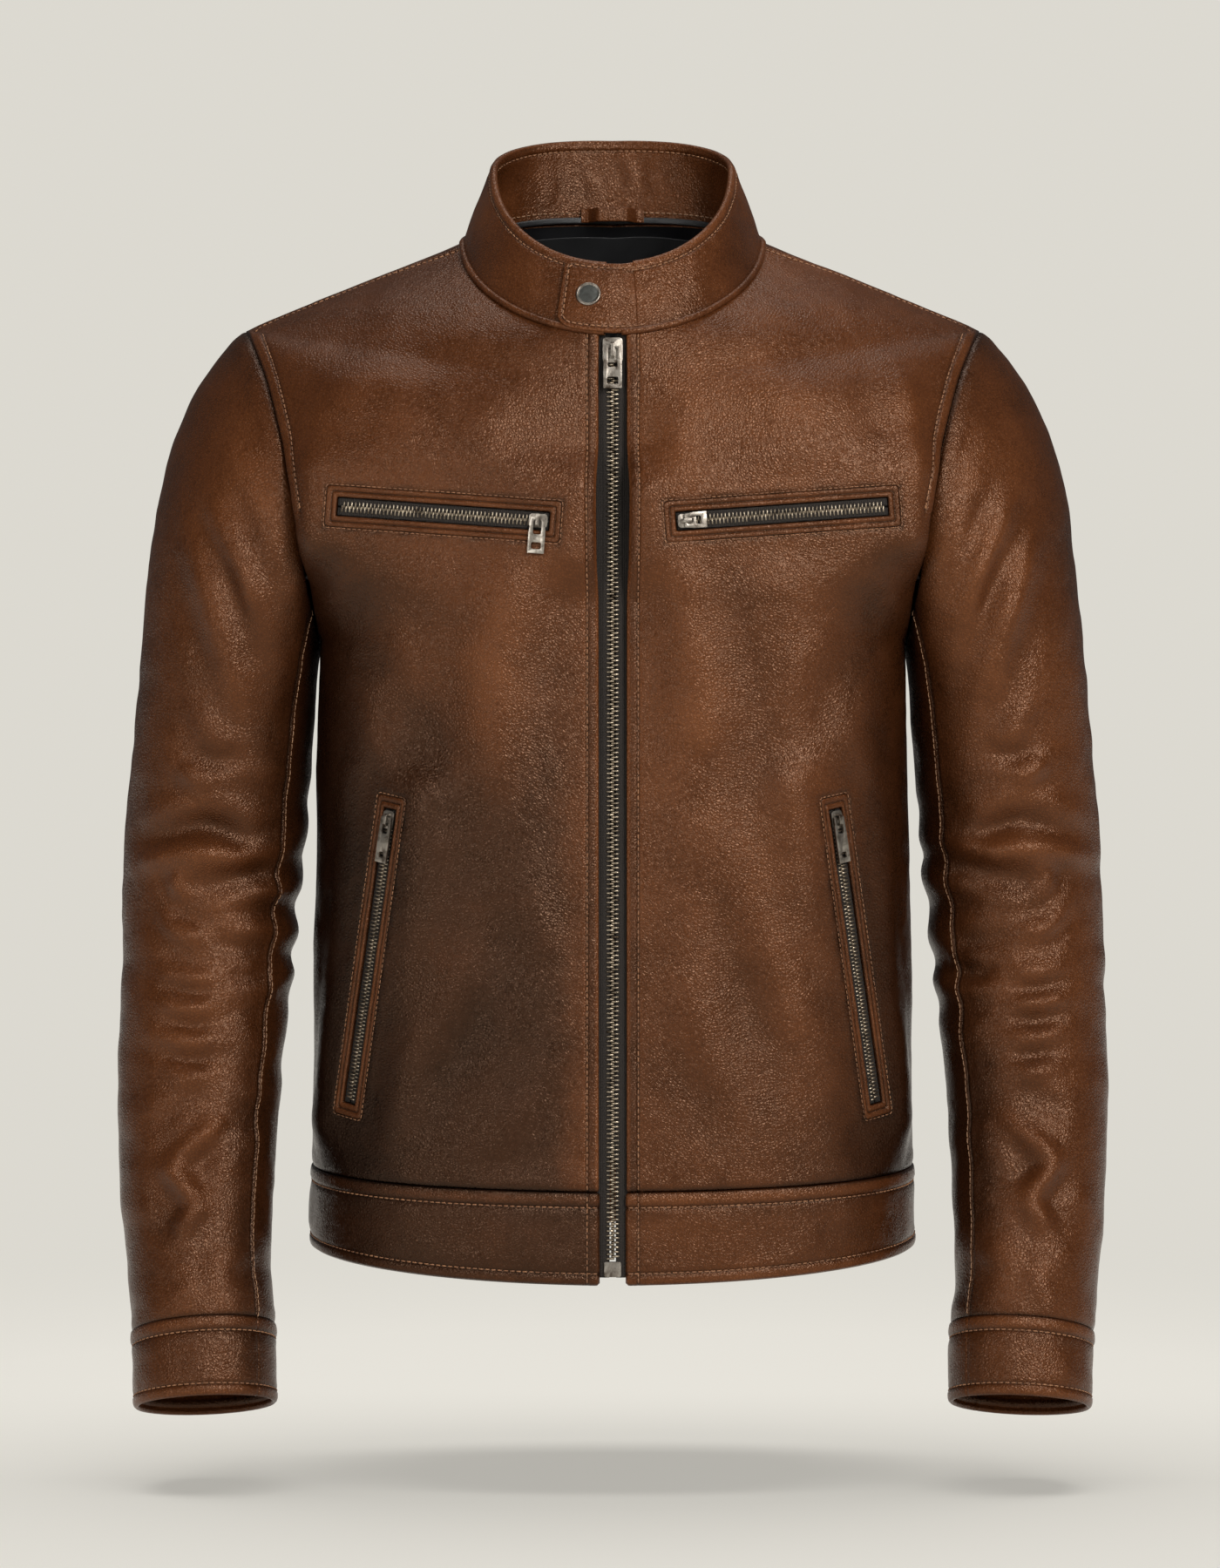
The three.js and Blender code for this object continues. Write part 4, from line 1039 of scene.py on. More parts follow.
BACK_FOLDS = (
    (((-150, 430), (-120, 400), (-70, 392)), 13, 1.8), (((150, 436), (112, 402), (60, 396)), 13, 1.8),
    (((-160, 372), (-110, 350), (-50, 352)), 12, 1.4), (((158, 366), (108, 342), (66, 346)), 12, 1.4),
    (((-90, 300), (-60, 220), (-70, 140)), 20, 1.6), (((84, 290), (52, 200), (66, 120)), 20, 1.6),
    (((-20, 240), (6, 160), (-8, 90)), 17, 1.3), (((-150, 140), (-90, 96), (-20, 84)), 10, 1.1),
    (((150, 150), (100, 100), (30, 88)), 10, 1.1), (((-188, 500), (-170, 470), (-168, 440)), 10, 1.6),
    (((188, 500), (170, 470), (168, 440)), 10, 1.6),
)
SLEEVE_FOLDS = (
    (((242, 474), (230, 443), (213, 402)), 8, 2.8),
    (((256, 452), (246, 416), (234, 378), (224, 346)), 9, 3.0),
    (((238, 440), (228, 412), (222, 388)), 6, -1.6), (((224, 500), (206, 462), (196, 430)), 9, 1.2),
    (((256, 350), (247, 338), (238, 326)), 7, 1.6), (((224, 318), (240, 315), (260, 320)), 6, -2.2),
    (((262, 312), (254, 304), (240, 298)), 7, 2.4),
    (((222, 262), (238, 273), (256, 275), (286, 264)), 8, -4.2),
    (((206, 256), (236, 258), (262, 257), (290, 252)), 7, 3.0),
    (((206, 249), (230, 241), (256, 235)), 7, -3.6), (((250, 252), (264, 241), (257, 229)), 6, 2.4),
    (((276, 224), (264, 211), (246, 206)), 6, 2.4), (((206, 202), (224, 201), (246, 204)), 7, -2.6),
    (((240, 184), (256, 183), (278, 187)), 5.5, 1.7), (((240, 174), (256, 173), (276, 176)), 5, -1.3),
    (((242, 165), (256, 164), (276, 168)), 5.5, 1.6), (((210, 186), (222, 182), (234, 186)), 6, -1.6),
    (((238, 155), (256, 154), (276, 157)), 5, -1.3), (((240, 144), (258, 143), (276, 147)), 6, 1.7),
    (((236, 134), (254, 133), (274, 137)), 5, -1.2), (((242, 124), (258, 124), (272, 130)), 6, 1.6),
    (((234, 100), (252, 83), (268, 69)), 6, 3.0), (((270, 72), (258, 58), (247, 48)), 6, 2.6),
    (((246, 50), (254, 40), (261, 28)), 6, 2.4), (((238, 84), (246, 70), (240, 56)), 9, -2.4),
    (((276, 60), (270, 46), (278, 26)), 9, -2.2), (((244, 112), (262, 104), (276, 92)), 7, -1.8),
    (((224, 24), (236, 8), (232, -10)), 8, 1.4), (((262, 14), (254, 0), (262, -16)), 8, 1.6),
)
SLEEVE_BACK_FOLDS = (
    (((206, 430), (224, 396), (250, 350)), 11, 2.2), (((212, 380), (232, 344), (258, 316)), 10, -1.8),
    (((214, 292), (244, 282), (280, 296)), 9, -2.0), (((210, 268), (246, 258), (286, 270)), 9, 2.4),
    (((212, 240), (248, 230), (288, 244)), 9, -2.4), (((214, 214), (250, 206), (286, 218)), 9, 2.0),
    (((220, 176), (248, 168), (276, 180)), 9, -1.6), (((222, 120), (250, 130), (280, 118)), 10, 1.5),
    (((224, 66), (252, 52), (276, 60)), 10, -1.5), (((222, 30), (246, 20), (270, 26)), 9, 1.3),
)


def front_panel(side_name, side):
    rows = panel_rows(front_surface)
    start = ahead(rows) * (PLACKET_X + 0.8) / PLACKET_X
    p, _, d_p, d_s = spread(front_surface, rows, start, SEAM_SHARE, FINE_LOW, FINE_HIGH, STEP)
    d_b, d_t = heights(p)
    z = p[..., 2]
    here = p * vec(side, 1, 1)
    strip, shoulder, arm_rows = seam_zones(rows, z)
    calm = ease(d_p / 34) * ease((d_b + 6) / 26) * ease((d_t + 6) / 30)
    calm = calm * (0.25 + 0.75 * ease(d_s / 28))
    near = np.full(z.shape, 99.0)
    for pocket in POCKETS.values():
        along, across = pocket_gap(p, pocket)
        gap_a, gap_b = along - pocket["margin"], across - pocket["welt"] / 2
        outside = np.hypot(np.maximum(gap_a, 0), np.maximum(gap_b, 0))
        near = np.minimum(near, outside + np.minimum(np.maximum(gap_a, gap_b), 0))
    calm = calm * (0.12 + 0.88 * ease((near - 2) / 26))
    folds = strokes(p, LEFT_FOLDS if side > 0 else RIGHT_FOLDS) * calm
    swell = 1.0 * noise(here, 62) + 0.55 * noise_b(here * vec(1, 1, 0.8), 27)
    d = 1.25 * folds + swell * (0.15 + 0.85 * calm)
    d += 0.24 * noise_b(here, 9) * (0.5 + 0.5 * calm)
    # The placket: a folded edge, its topstitch and puckers beside it.
    d += 0.5 * plateau(d_p, 0.3, 5.6) + channel(d_p, STITCH_IN, 0.5)
    pucker = noise_b(here * vec(0, 0, 1) + vec(3, 5, 0), 7.5)
    d += 0.34 * pucker * bell(d_p - 9.5, 5.5) + 0.12 * pucker * bell(d_p - 3, 3)
    # Seams at the side, the armhole and the shoulder.
    d -= 0.55 * bell(d_s, 1.3) * (1 - shoulder)
    d += strip * (0.75 * plateau(d_s, 0.2, 7.6) + channel(d_s, ARM_STRIP, 0.5))
    d += shoulder * (0.45 * plateau(d_s, 0.2, 4.4) + channel(d_s, SHOULDER_STITCH, 0.45))
    around = noise(here, 9)
    d += 0.3 * around * bell(d_s - 12, 6) * (strip + 0.7 * shoulder)
    d += 0.5 * (1 + 0.8 * around) * bell(d_b - 5, 4.5) - 0.4 * bell(d_b, 1.2)
    # The leather goes under the pockets' frames and swells a little beside them.
    d += (0.35 + 0.3 * noise_b(here, 8)) * bell(near - 3.2, 2.2)
    d -= 1.5 * ease((-0.8 - near) / 2.0)
    q, m = pushed(p, d)
    inside = near < -2.6
    gone = inside[:-1, :-1] & inside[1:, :-1] & inside[:-1, 1:] & inside[1:, 1:]
    x = p[..., 0]
    # The tone follows the folds and swellings: lighter on their ridges, partly as rubbed wear and partly as
    # painted highlight, and darker in their hollows as painted shade.
    tone = 0.1 * folds + 0.05 * swell
    # Painted shade: darker towards the side seam below the chest, and low towards the side.
    tone -= 0.7 * ease((x - 112) / 60) * ease((480 - z) / 100)
    tone -= 0.25 * ease((120 - z) / 90) * ease((x - 60) / 80)
    # Painted light and shade that differ between the two fronts: the left one is paler high on the chest as a
    # painted sheen, the right one darker low as painted shade.
    if side > 0:
        tone += 0.36 * ease((z - 400) / 150) * bell(x - 90, 90)
        tone += 0.15 * bell(z - 340, 110) - 0.2 * ease((200 - z) / 120)
    else:
        tone -= 0.85 * ease((400 - z) / 190) * ease((x - 14) / 30)
    for distance, at, size in ((d_p, STITCH_IN, 1.0), (d_b, 0, 1.2), (near, 0.2, 1.2)):
        tone -= 0.75 * bell(distance - at, size)
        tone -= 0.1 * bell(distance - at, 4)
    # Painted highlights along the placket's folded edge and on the ridge just outside its topstitch; the band
    # between them is darker.
    tone += 0.5 * bell(d_p - 0.2, 1.0) - 0.3 * plateau(d_p, 1.2, 5.2)
    tone += 0.55 * bell(d_p - STITCH_IN - 1.7, 0.8)
    tone -= strip * 0.7 * bell(d_s - ARM_STRIP, 1.0) + shoulder * 0.6 * bell(d_s - SHOULDER_STITCH, 1.0)
    tone -= 0.7 * bell(d_s, 1.6) + 0.12 * bell(d_s, 7)
    # Painted highlight on the raised armhole strip.
    tone += 0.3 * strip * plateau(d_s, 1.5, 7.0)
    obj = sheet(f"front_leather_{side_name}", q, m, LEATHER, [HIDE, SATIN], tone, side,
                keep=~gone, inner_slot=1)
    place(obj, "jacket", "leather", f"front_panel_{side_name}")
    seams = [trace(q, m, d_p, STITCH_IN)]
    seams.append(trace(q[arm_rows], m[arm_rows], d_s[arm_rows], ARM_STRIP, True))
    top_rows = rows >= SHOULDER_ROW
    seams.append(trace(q[top_rows], m[top_rows], d_s[top_rows], SHOULDER_STITCH, True))
    place(stitches(f"front_stitches_{side_name}", seams, side), "jacket", "leather")
    # Bar tack where the armhole's strip ends.
    line, up = seams[1]
    along = unit(line[0] - line[6])
    away = np.cross(up[0], along)
    bars = []
    for j in range(3):
        ends = [line[0] + away * w - along * 0.4 * j for w in (-2.6, 2.6)]
        bars.append(tube(np.linspace(*ends, 5), 0.42, 6, up[0]))
    points, faces = mirrored(*joined(bars), side)
    place(make(f"bar_tack_{side_name}", points, faces, [THREAD]), "jacket", "leather")


BAND_STRIP = 8.6
HEM_STITCH = 6.0
BAND_LOW = [0, 0.6, 1.5, 2.8, 4.2, 5.2, 5.8, 6.4, 7.2, 8.8, 11]
BAND_HIGH = [0, 0.5, 1.2, 2.4, 4.2, 6.0, 7.2, 7.9, 8.5, 9.2, 10.4, 12.5]
BAND_THICK = 5.6


def band_shape(here, d_b, d_t):
    d = 0.5 + 0.45 * plateau(d_b, 0.2, 5.2) + channel(d_b, HEM_STITCH, 0.5)
    d += 0.85 * np.sin(np.pi * np.clip(d_t / 7.8, 0, 1)) ** 0.6 + channel(d_t, BAND_STRIP, 0.65)
    field = ease((d_b - 6) / 8) * ease((d_t - 8) / 8)
    d += field * (0.6 + 0.9 * noise(here, 30) + 0.4 * noise_b(here, 13))
    d += 0.24 * noise_b(here, 8) * (bell(d_t - 11, 3.5) + bell(d_b - 8.5, 3.5))
    tone = 0.2 * noise_b(here, 40) - 0.8 * bell(d_t - BAND_STRIP, 1.0) - 0.7 * bell(d_b - HEM_STITCH, 0.9)
    # Painted highlights on the raised strip at the top and on the rolled hem; darker along the top edge, with
    # painted shade just below the strip.
    tone += 0.35 * bell(d_t - 3.8, 2.4) + 0.35 * bell(d_b - 1.5, 2.0)
    tone -= 0.7 * bell(d_t, 0.8) + 0.2 * bell(d_t - 12, 4)
    return d, tone


def band_seams(q, m, d_b, d_t, down=False):
    """The two topstitches of a band whose rows run up, or down."""
    turned = (q.transpose(1, 0, 2), m.transpose(1, 0, 2))
    return [trace(*turned, d_b.T, HEM_STITCH, down), trace(*turned, d_t.T, BAND_STRIP, not down)]


def waistband_front(side_name, side):
    rows = row_marks(front_surface, 0.45, 0.0, 0.996, BAND_LOW, BAND_HIGH, STEP)
    start = ahead(rows) * (PLACKET_X + 0.8) / PLACKET_X
    p, _, d_p, d_s = spread(front_surface, rows, start, SEAM_SHARE, FINE_LOW, EDGE_MARKS, STEP)
    d_b, d_t = heights(p)
    here = p * vec(side, 1, 1)
    d, tone = band_shape(here, d_b, d_t)
    d += channel(d_p, STITCH_IN, 0.45) + 0.2 * plateau(d_p, 0.3, 5.6) - 0.5 * bell(d_s, 1.2)
    d -= 0.35 * ease((1.2 - d_p) / 1.2)
    # Seams and the topstitch darker, a painted highlight along the front edge; painted shade towards the
    # sides, much deeper on the right front than on the left.
    tone = tone - 0.6 * bell(d_p - STITCH_IN, 0.9) - 0.6 * bell(d_s, 1.5) + 0.3 * bell(d_p, 1.4)
    tone -= 0.35 * ease((p[..., 0] - 130) / 60) + (0.75 if side < 0 else 0.08)
    q, m = pushed(p, d)
    obj = sheet(f"waistband_leather_{side_name}", q, m, BAND_THICK, [HIDE], tone, side, roll=0.7)
    place(obj, "jacket", "leather", f"waistband_front_{side_name}")
    seams = [trace(q, m, d_p, STITCH_IN), *band_seams(q, m, d_b, d_t)]
    place(stitches(f"waistband_stitches_{side_name}", seams, side), "jacket", "leather")


def back_pieces():
    rows = panel_rows(back_surface)
    p, _, d_l, d_r = spread(back_whole, rows, -SEAM_SHARE, SEAM_SHARE, FINE_HIGH, FINE_HIGH, STEP)
    d_b, d_t = heights(p)
    d_s = np.minimum(d_l, d_r)
    z = p[..., 2]
    strip, shoulder, arm_rows = seam_zones(rows, z)
    calm = ease((d_b + 6) / 26) * ease((d_t + 6) / 40) * (0.25 + 0.75 * ease(d_s / 28))
    folds = strokes(p, BACK_FOLDS) * calm
    swell = 1.3 * noise(p, 66) + 0.55 * noise_b(p, 27)
    d = folds + swell * (0.15 + 0.85 * calm) + 0.16 * noise_b(p, 9)
    d -= 0.55 * bell(d_s, 1.3)
    d += strip * (0.7 * plateau(d_s, 0.2, 7.6) + channel(d_s, ARM_STRIP, 0.5))
    d += 0.3 * noise(p, 9) * bell(d_s - 12, 6) * strip
    d += 0.5 * (1 + 0.8 * noise(p, 9)) * bell(d_b - 5, 4.5) - 0.4 * bell(d_b, 1.2)
    q, m = pushed(p, d)
    # The tone follows the folds: lighter on their ridges, partly as rubbed wear and partly as painted
    # highlight, and darker in their hollows as painted shade. Seams and the hem's edge are darker, and the
    # upper back is lighter as painted light from above.
    tone = 0.07 * folds + 0.04 * swell - 0.7 * bell(d_s, 1.6) - 0.12 * bell(d_s, 7)
    tone += 0.2 * ease((z - 400) / 120) - 0.8 * bell(d_b, 1.2) - 0.25 * bell(d_b, 9)
    tone -= strip * 0.7 * bell(d_s - ARM_STRIP, 1.0) + 0.2 * shoulder * bell(d_s, 5)
    obj = sheet("back_leather", q, m, LEATHER, [HIDE, SATIN], tone, inner_slot=1)
    place(obj, "jacket", "leather", "back_panel")
    seams = [
        trace(q[arm_rows], m[arm_rows], d_l[arm_rows], ARM_STRIP),
        trace(q[arm_rows], m[arm_rows], d_r[arm_rows], ARM_STRIP, True),
    ]
    rows = row_marks(back_surface, 0.45, 0.0, 0.996, BAND_LOW, BAND_HIGH, STEP)
    p, _, d_l, d_r = spread(back_whole, rows, -SEAM_SHARE, SEAM_SHARE, EDGE_MARKS, EDGE_MARKS, STEP)
    d_b, d_t = heights(p)
    d, tone = band_shape(p, d_b, d_t)
    d_s = np.minimum(d_l, d_r)
    d -= 0.5 * bell(d_s, 1.2)
    q, m = pushed(p, d)
    obj = sheet("waistband_leather_back", q, m, BAND_THICK, [HIDE], tone - 0.6 * bell(d_s, 1.5), roll=0.7)
    place(obj, "jacket", "leather", "waistband_back")
    seams += band_seams(q, m, d_b, d_t)
    place(stitches("back_stitches", seams), "jacket", "leather")


def lining_pieces():
    rows = row_marks(front_surface, 0.45, 0.95, 9.85, [0, 3], [0, 3], 7)
    for side_name, side in SIDES:
        start = ahead(rows) * 2.3
        p, *_ = spread(front_surface, rows, start, 0.99, [0, 3], [0, 3], 7)
        here = p * vec(side, 1, 1)
        depth = LINING_DEPTH + 0.5 + 0.5 * noise(here * vec(1, 1, 0.5), 26)
        obj = sheet(f"lining_cloth_{side_name}", *pushed(p, -depth), CLOTH, [SATIN], None, side)
        place(obj, "jacket", "lining", f"lining_front_{side_name}")
        for kind, pocket in POCKETS.items():
            reach = {"chest": (0.2, 1.3, 0.02, 0.02), "hand": (0.1, 0.05, 0.22, 0.03)}[kind]
            (row_a, t_a), (row_b, t_b) = (front_parameters(*pocket[k]) for k in ("start", "end"))
            r = np.linspace(min(row_a, row_b) - reach[1], max(row_a, row_b) + reach[0], 30)
            w = np.linspace(min(t_a, t_b) - reach[2], max(t_a, t_b) + reach[3], 26)
            p = front_surface(*np.meshgrid(r, w, indexing="ij"))
            depth = BAG_DEPTH + 0.35 + 0.3 * noise(p, 14)
            obj = sheet(f"{kind}_pocket_bag_{side_name}", *pushed(p, -depth), CLOTH, [SATIN], None, side)
            place(obj, "jacket", "lining", f"{kind}_bag_{side_name}")
    rows = row_marks(back_surface, 0.45, 0.95, 9.85, [0, 3], [0, 3], 6)
    p, *_ = spread(back_whole, rows, -0.99, 0.99, [0, 3], [0, 3], 6)
    ripple = strokes(p, [
        (((-60, 640), (-20, 600), (10, 540)), 9, 1.6),
        (((56, 636), (30, 596), (28, 536)), 8, 1.5),
        (((-10, 640), (-4, 590), (-22, 520)), 8, 1.3),
    ])
    depth = LINING_DEPTH + 0.9 + 0.8 * noise(p * vec(1, 1, 0.5), 24) - ripple
    obj = sheet("lining_cloth_back", *pushed(p, -depth), CLOTH, [SATIN])
    place(obj, "jacket", "lining", "lining_back")


# ---------------------------------------------------------------- collar
COLLAR_THICK = 3.55
COLLAR_STITCH = 5.0
TAB_ROOT, TAB_END, COLLAR_END = 0.1, -0.24, 3.97
TAB_THICK, TAB_RISE = 2.6, 3.5
STAY_DEPTH, STAY_THICK = 5.4, 0.8  # the facing strip under the collar's inner seam
PIPING_R = 2.1
FACING_STITCH = 7.6  # pale topstitch of the facing, up from its foot


def collar_normal(surface, turn, h):
    da = surface(turn + 1e-3, h) - surface(turn - 1e-3, h)
    db = surface(turn, h + 1e-3) - surface(turn, h - 1e-3)
    n = unit(np.cross(da, db))
    p = surface(turn, h)
    away = p * vec(1, 1, 0)
    sign = np.sign(np.sum(n * away, -1, keepdims=True))
    return n * sign, unit(db)


def band_height(surface, turns, low):
    top = surface(turns, np.ones_like(turns))
    return np.linalg.norm(top - surface(turns, np.full_like(turns, float(low))), axis=-1)


def collar_relief(p, mm, height):
    """Height and tone of the collar's leather, mm up from its foot."""
    from_rim = height - mm
    puff = 0.7 * np.sin(np.pi * np.clip((mm - 1) / (height - 7), 0, 1)) ** 0.8
    ripple = noise(p, 17) * 0.55 + noise_b(p, 8) * 0.22
    d = 0.15 + puff + ripple * ease(mm / 7) * ease((from_rim - 1) / 5)
    d += channel(from_rim, COLLAR_STITCH, 0.5) + 0.3 * plateau(from_rim, 0.2, 4.4)
    d += 0.25 * noise_b(p, 6) * bell(from_rim - 7.5, 3)
    # Tone: darker along the topstitch, a painted highlight along the rolled rim and painted shade at the foot
    # by the piping.
    tone = 0.15 + 0.25 * noise(p, 26) - 0.8 * bell(from_rim - COLLAR_STITCH, 0.8)
    return d, tone + 0.4 * bell(from_rim, 2) - 0.5 * bell(mm, 3.5)


def collar_pieces():
    turns = np.linspace(TAB_ROOT, COLLAR_END, 380)
    outer_mm = np.array([-1.0, 0.5, 2, 3.5, 5.5, 8, 11, 14, 17, 20, 23, 26, 29, 32])
    rim_mm = np.array([13, 10.5, 8.6, 7.2, 6.2, 5.6, 5.0, 4.4, 3.8, 2.8, 1.6, 0.6, 0])
    height = band_height(collar_surface, turns, 0)[:, None]
    low = outer_mm[None] / 32 * (height - 14)
    mm = np.concatenate([low, height - rim_mm[None]], 1)
    h = mm / height
    p = collar_surface(turns[:, None], h)
    n, up = collar_normal(collar_surface, turns[:, None], h)
    from_rim = height - mm
    d, tone_out = collar_relief(p, mm, height)
    q_out = p + n * d[..., None]
    # Over the rim and down the inside.
    a = np.linspace(0, np.pi, 7)[1:-1]
    r = COLLAR_THICK / 2
    n_top, up_top = n[:, -1:], up[:, -1:]
    rim = q_out[:, -1:] + n_top * ((np.cos(a) - 1) * (r + 0.2))[:, None] + up_top * (np.sin(a) * r)[:, None]
    inner_mm = np.concatenate([height - rim_mm[::-1][None], low[:, ::-1][:, :-2]], 1)
    hi = inner_mm / height
    pi = collar_surface(turns[:, None], hi)
    ni, _ = collar_normal(collar_surface, turns[:, None], hi)
    rim_i = height - inner_mm
    di = -COLLAR_THICK - 0.1 - 0.5 * noise_b(pi, 15) * ease((rim_i - 1) / 5) * ease((inner_mm - 3) / 6)
    di -= 0.5 * strokes(pi, [
        (((-22, 696), (-14, 680), (-10, 664)), 4, 1.6),
        (((6, 698), (12, 684), (8, 668)), 4, 1.5),
        (((30, 694), (26, 682), (34, 668)), 4, 1.2),
        (((-46, 690), (-40, 676), (-44, 662)), 4, 1.2),
    ]) * (pi[..., 1] > 30)
    di -= channel(rim_i, COLLAR_STITCH, 0.4) + 0.3 * plateau(rim_i, 0.2, 4.4)
    di += 0.5 * bell(inner_mm - 3.5, 1.2)
    q_in = pi + ni * di[..., None]
    tone_in = 0.1 + 0.2 * noise_b(pi, 22) - 0.5 * bell(rim_i - COLLAR_STITCH, 0.9)
    # Painted shade at the foot of the inside facing.
    tone_in -= 0.3 * bell(inner_mm - 3, 3)
    rings = np.concatenate([q_out, rim, q_in], 1)
    # The rolled rim gets a painted highlight.
    tone = np.concatenate([tone_out, np.full(rim.shape[:2], 0.4), tone_in], 1)
    obj = loft("collar_leather", rings, tone)
    place(obj, "jacket", "leather", "collar_shell", "collar_facing")
    seams = [
        trace(q_out[:, ::-1], n[:, ::-1], from_rim[:, ::-1], COLLAR_STITCH),
        trace(q_in, -ni, rim_i, COLLAR_STITCH),
    ]
    base = slice(40, -40)
    pale = [trace(q_in[base, ::-1], -ni[base, ::-1], inner_mm[base, ::-1], FACING_STITCH)]
    place(stitches("collar_stitches", seams), "jacket", "leather")
    place(stitches("facing_stitches", pale, mat=PALE_THREAD), "jacket", "leather")
    # The seam's piping round the foot of the collar.
    turns = np.linspace(0.035, 3.965, 420)
    foot = collar_surface(turns, np.zeros_like(turns))
    n0, up0 = collar_normal(collar_surface, turns, np.zeros_like(turns))
    path = foot + n0 * 0.7 + up0 * 1.0
    points, faces = tube(path, PIPING_R, 12, n0)
    tones = 0.25 + 0.3 * noise_b(points, 9)
    obj = make("collar_piping", points, faces, [HIDE], tones)
    place(obj, "jacket", "leather")
    # Facing strip inside, over the seam of the collar and the lining.
    h_strip = np.array([0.02, 0.04, 0.06, 0.08])
    turns = np.linspace(0.12, 3.94, 200)
    grid_t, grid_h = np.meshgrid(turns, h_strip, indexing="ij")
    p = collar_surface(grid_t, grid_h)
    n, _ = collar_normal(collar_surface, grid_t, grid_h)
    obj = sheet("collar_stay", p - n * STAY_DEPTH, n, STAY_THICK, [SATIN])
    place(obj, "jacket", "lining")


def tab_surface(turn, h):
    p = collar_surface(turn, h)
    out = unit(np.stack([p[..., 0] * 0.4, np.full(p.shape[:-1], -float(RIM_FRONT_Y)), 0 * p[..., 0]], -1))
    turn = np.asarray(turn)
    return p + out * (TAB_RISE * ease((TAB_ROOT - turn) / (TAB_ROOT + 0.02)))[..., None]


TAB_R = 9.0
TAB_LAP = 0.035  # how far its root runs on under the collar's leather
TAB_STITCH = 3.6
TAB_LOW = 0.02  # its foot, as a share of the collar's height


def tab_piece():
    span = np.linspace(0, 1, 90)
    start_turn = TAB_ROOT + TAB_LAP
    turns = start_turn + (TAB_END - start_turn) * (1 - (1 - span) ** 1.35)
    middle = tab_surface(turns, np.full_like(turns, 0.5))
    length = arcs(middle, 0)
    from_end = length[-1] - length
    height = band_height(tab_surface, turns, TAB_LOW)
    # Rounded corners at the free end.
    s = np.clip(from_end / TAB_R, 0, 1)
    cut = TAB_R * (1 - np.sqrt(np.maximum(0, 1 - (1 - s) ** 2)))
    marks = np.array([0, 0.35, 0.9, 1.7, 2.7, 3.2, 3.6, 4.0, 4.6, 5.8, 8])
    rings, ring_tone = [], []
    edge_all = []
    for i, turn in enumerate(turns):
        full = height[i]
        low, high = cut[i], full - cut[i]
        width = high - low
        k = min(1.0, width / (2 * marks[-1] + 4))
        mm = np.concatenate([low + marks * k, np.linspace(low + marks[-1] * k, high - marks[-1] * k, 8)[1:-1],
                             high - marks[::-1] * k])
        h = TAB_LOW + (1 - TAB_LOW) * mm / full
        t = np.full_like(h, turn)
        p = tab_surface(t, h)
        n, up = collar_normal(tab_surface, t, h)
        edge_gap = np.minimum(mm - low, high - mm)
        edge_gap = np.minimum(edge_gap, from_end[i]) if from_end[i] < TAB_R else edge_gap
        round_off = np.sqrt(np.clip(1 - (1 - np.clip(edge_gap / 1.3, 0, 1)) ** 2, 0, 1))
        d = 0.35 - 1.55 * (1 - round_off) + channel(edge_gap, TAB_STITCH, 0.45)
        d += 0.5 * ease((edge_gap - 4) / 8) + 0.2 * noise_b(p, 9) * ease(edge_gap / 4)
        root, root_tone = collar_relief(p, mm + TAB_LOW * full, full)
        joint = ease((turn - 0.02) / (TAB_ROOT - 0.02))
        d = d + (root - d) * joint - 0.3 * ease((turn - TAB_ROOT) / 0.012)
        front = p + n * d[:, None]
        back = p - n * (TAB_THICK - 1.2 * (1 - round_off))[:, None]
        rings.append(np.concatenate([front, back[::-1]]))
        tone = 0.15 + 0.25 * noise(p, 20) - 0.75 * bell(edge_gap - TAB_STITCH, 0.7)
        # Painted highlight along the tab's rounded edges and, below, painted shade on its back.
        tone += 0.35 * bell(edge_gap, 1.6)
        tone = tone + (root_tone - tone) * joint
        ring_tone.append(np.concatenate([tone, tone[::-1] - 0.1]))
        edge_all.append((front, n, mm - low, high - mm))
    obj = loft("collar_tab_leather", np.array(rings), np.array(ring_tone))
    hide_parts("collar_tab")
    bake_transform(obj)
    lower, upper = [], []
    for (front, n, a, b), gap in zip(edge_all, from_end):
        if gap < TAB_STITCH:
            continue
        for store, d, order in ((lower, a, slice(None)), (upper, b, slice(None, None, -1))):
            d, f, m = d[order], front[order], n[order]
            reach = TAB_STITCH
            if gap < TAB_R:
                inner_r = TAB_R - TAB_STITCH
                w = (TAB_R - gap) / inner_r
                reach = TAB_STITCH + inner_r * (1 - math.sqrt(max(0, 1 - w * w)))
                reach -= TAB_R * (1 - math.sqrt(max(0, 1 - (1 - gap / TAB_R) ** 2)))
            store.append((along_line(reach, d, f), along_line(reach, d, m)))
    line = lower + upper[::-1]
    path, up = np.array([x[0] for x in line]), np.array([x[1] for x in line])
    obj = stitches("tab_stitches", [(path, up)])
    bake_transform(obj)


